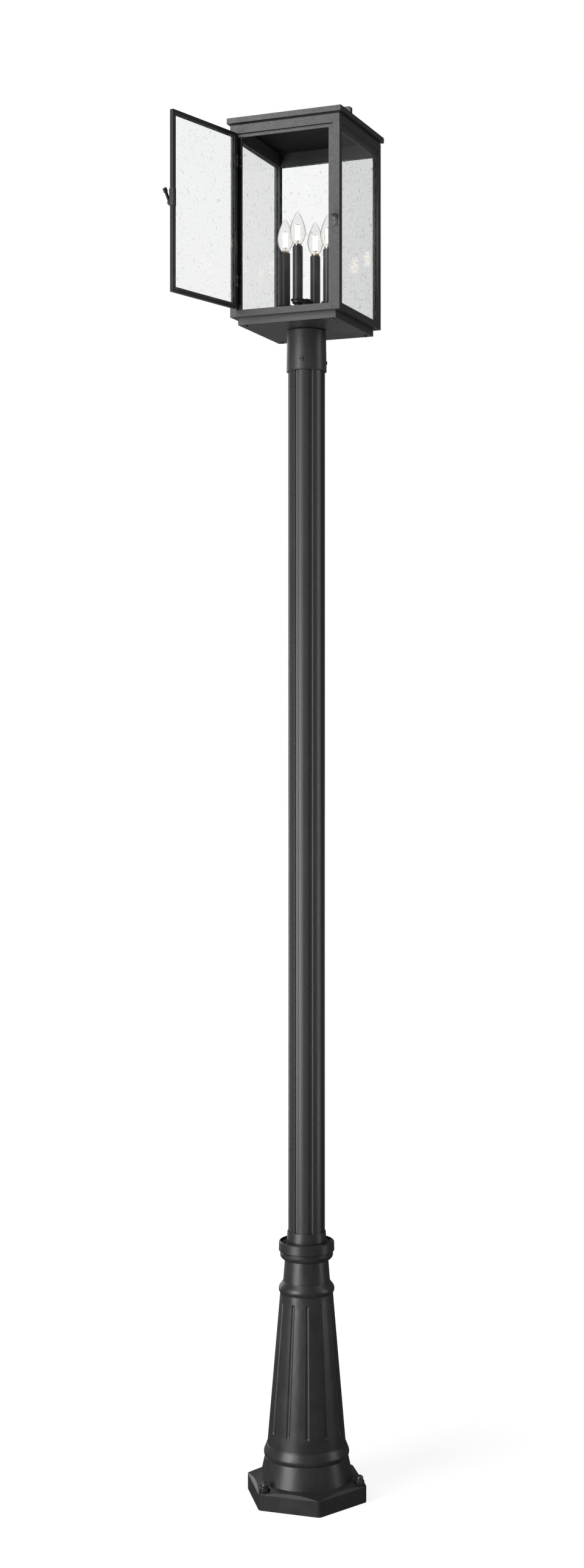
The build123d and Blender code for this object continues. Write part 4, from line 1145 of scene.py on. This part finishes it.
class LANTERN_OT_lamps(LanternOperator, bpy.types.Operator):
    """Clear candle lamps with lit filaments"""

    bl_idname = "lantern.lamps"
    bl_label = "Lamps"

    def build(self, context):
        shells, caps, stems, sticks, wires = (bmesh.new() for _ in range(5))
        outline = smooth_line(BULB_OUTLINE)
        inner = [
            (max(radius - BULB_WALL, 0.0), height - (BULB_WALL if radius < 0.5 else 0.0))
            for radius, height in outline
        ]
        for angle in LAMP_ANGLES:
            place = stand(angle, LAMP_CIRCLE, LAMP_SEAT)
            turn_profile(shells, place, outline + list(reversed(inner)) + [outline[0]], 64)
            turn_profile(caps, place, CAP_OUTLINE, 64)
            turn_profile(stems, place, smooth_line(STEM_OUTLINE, 3), 32)
            for k in range(FILAMENT_COUNT):
                turn = FIRST_FILAMENT + 360.0 * k / FILAMENT_COUNT
                self.filament(sticks, wires, place, turn)
            self.spider(wires, place)
        glass = piece("lamp_shells", shells, "lantern", "bulb_glass", "bulb_glass", crease=60)
        without_glare(glass)
        piece("lamp_caps", caps, "lantern", "lamp_brass", "bulb_bases", crease=30)
        piece("lamp_stems", stems, "lantern", "bulb_glass", "bulb_stems", crease=60)
        piece("lamp_filaments", sticks, "lantern", "filament", "bulb_filaments", crease=60)
        piece("lamp_wires", wires, "lantern", "lamp_brass")
        for angle in LAMP_ANGLES:
            self.light(context, angle)

    def filament(self, sticks, wires, place, turn):
        """One lit stick with its bare ends."""
        spin = place @ Matrix.Rotation(radians(turn), 4, "Z")
        reach = FILAMENT_CIRCLE
        stick = [(reach, 0, height) for height in (13.0, 20.0, 30.0, 36.0, 43.0)]
        low = ((1.4, 0, 10.5), (3.2, 0, 11.2), (reach, 0, 13.2))
        high = ((reach, 0, 42.8), (3.4, 0, 44.6), (1.2, 0, 45.0))
        rod_along(sticks, self.placed(spin, stick), FILAMENT_RADIUS * MM, 12)
        rod_along(wires, self.placed(spin, low), WIRE_RADIUS * MM, 8)
        rod_along(wires, self.placed(spin, high), WIRE_RADIUS * MM, 8)

    def spider(self, wires, place):
        """The wire up the middle and the small cross that holds the sticks."""
        middle = [(0, 0, height) for height in (2.0, 10.0, 20.0, 34.0, 45.4)]
        rod_along(wires, self.placed(place, middle), MIDDLE_WIRE_RADIUS * MM, 8)
        turn_profile(wires, place, UPPER_CROSS_OUTLINE, 24)
        turn_profile(wires, place, LOWER_CROSS_OUTLINE, 24)

    def placed(self, place, points):
        """Points in millimetres, moved to their place."""
        return [place @ (Vector(point) * MM) for point in points]

    def light(self, context, angle):
        """The light that a lamp gives."""
        lamps = settings().lamps
        lamp = bpy.data.lights.new("lamp_light", "POINT")
        lamp.energy = lamps.lamp_power
        lamp.color = (1.0, 0.78, 0.50)
        lamp.shadow_soft_size = 0.006
        made = bpy.data.objects.new("lamp_light", lamp)
        place = stand(angle, LAMP_CIRCLE, LAMP_SEAT + LAMP_LIGHT_RISE)
        made.location = place.translation
        made.visible_camera = made.visible_glossy = made.visible_transmission = False
        context.scene.collection.objects.link(made)
        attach(made, "lantern")


OPERATORS = (
    LANTERN_OT_studio,
    LANTERN_OT_base,
    LANTERN_OT_anchors,
    LANTERN_OT_frame,
    LANTERN_OT_roof,
    LANTERN_OT_door,
    LANTERN_OT_panes,
    LANTERN_OT_candles,
    LANTERN_OT_screws,
    LANTERN_OT_lamps,
)


class LANTERN_PT_panel(bpy.types.Panel):
    """The lantern's settings and operators"""

    bl_idname = "LANTERN_PT_panel"
    bl_label = "Post Top Lantern"
    bl_space_type = "VIEW_3D"
    bl_region_type = "UI"
    bl_category = "Lantern"

    def draw(self, context):
        for name, group in SETTINGS.items():
            box = self.layout.box()
            box.label(text=group.__doc__)
            for field in group.__annotations__:
                box.prop(getattr(context.scene.lantern, name), field)
        for operator in OPERATORS:
            self.layout.operator(operator.bl_idname)


CLASSES = (*SETTINGS.values(), LanternSettings, *OPERATORS, LANTERN_PT_panel)


def register():
    """Registers the classes and the scene's settings."""
    for made in CLASSES:
        bpy.utils.register_class(made)
    bpy.types.Scene.lantern = PointerProperty(type=LanternSettings)


def unregister():
    """Removes the settings and the classes."""
    del bpy.types.Scene.lantern
    for made in reversed(CLASSES):
        bpy.utils.unregister_class(made)


def main():
    """Builds the looks."""
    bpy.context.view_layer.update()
    register()
    for operator in OPERATORS:
        group, name = operator.bl_idname.split(".")
        getattr(getattr(bpy.ops, group), name)()


if __name__ == "__main__":
    main()
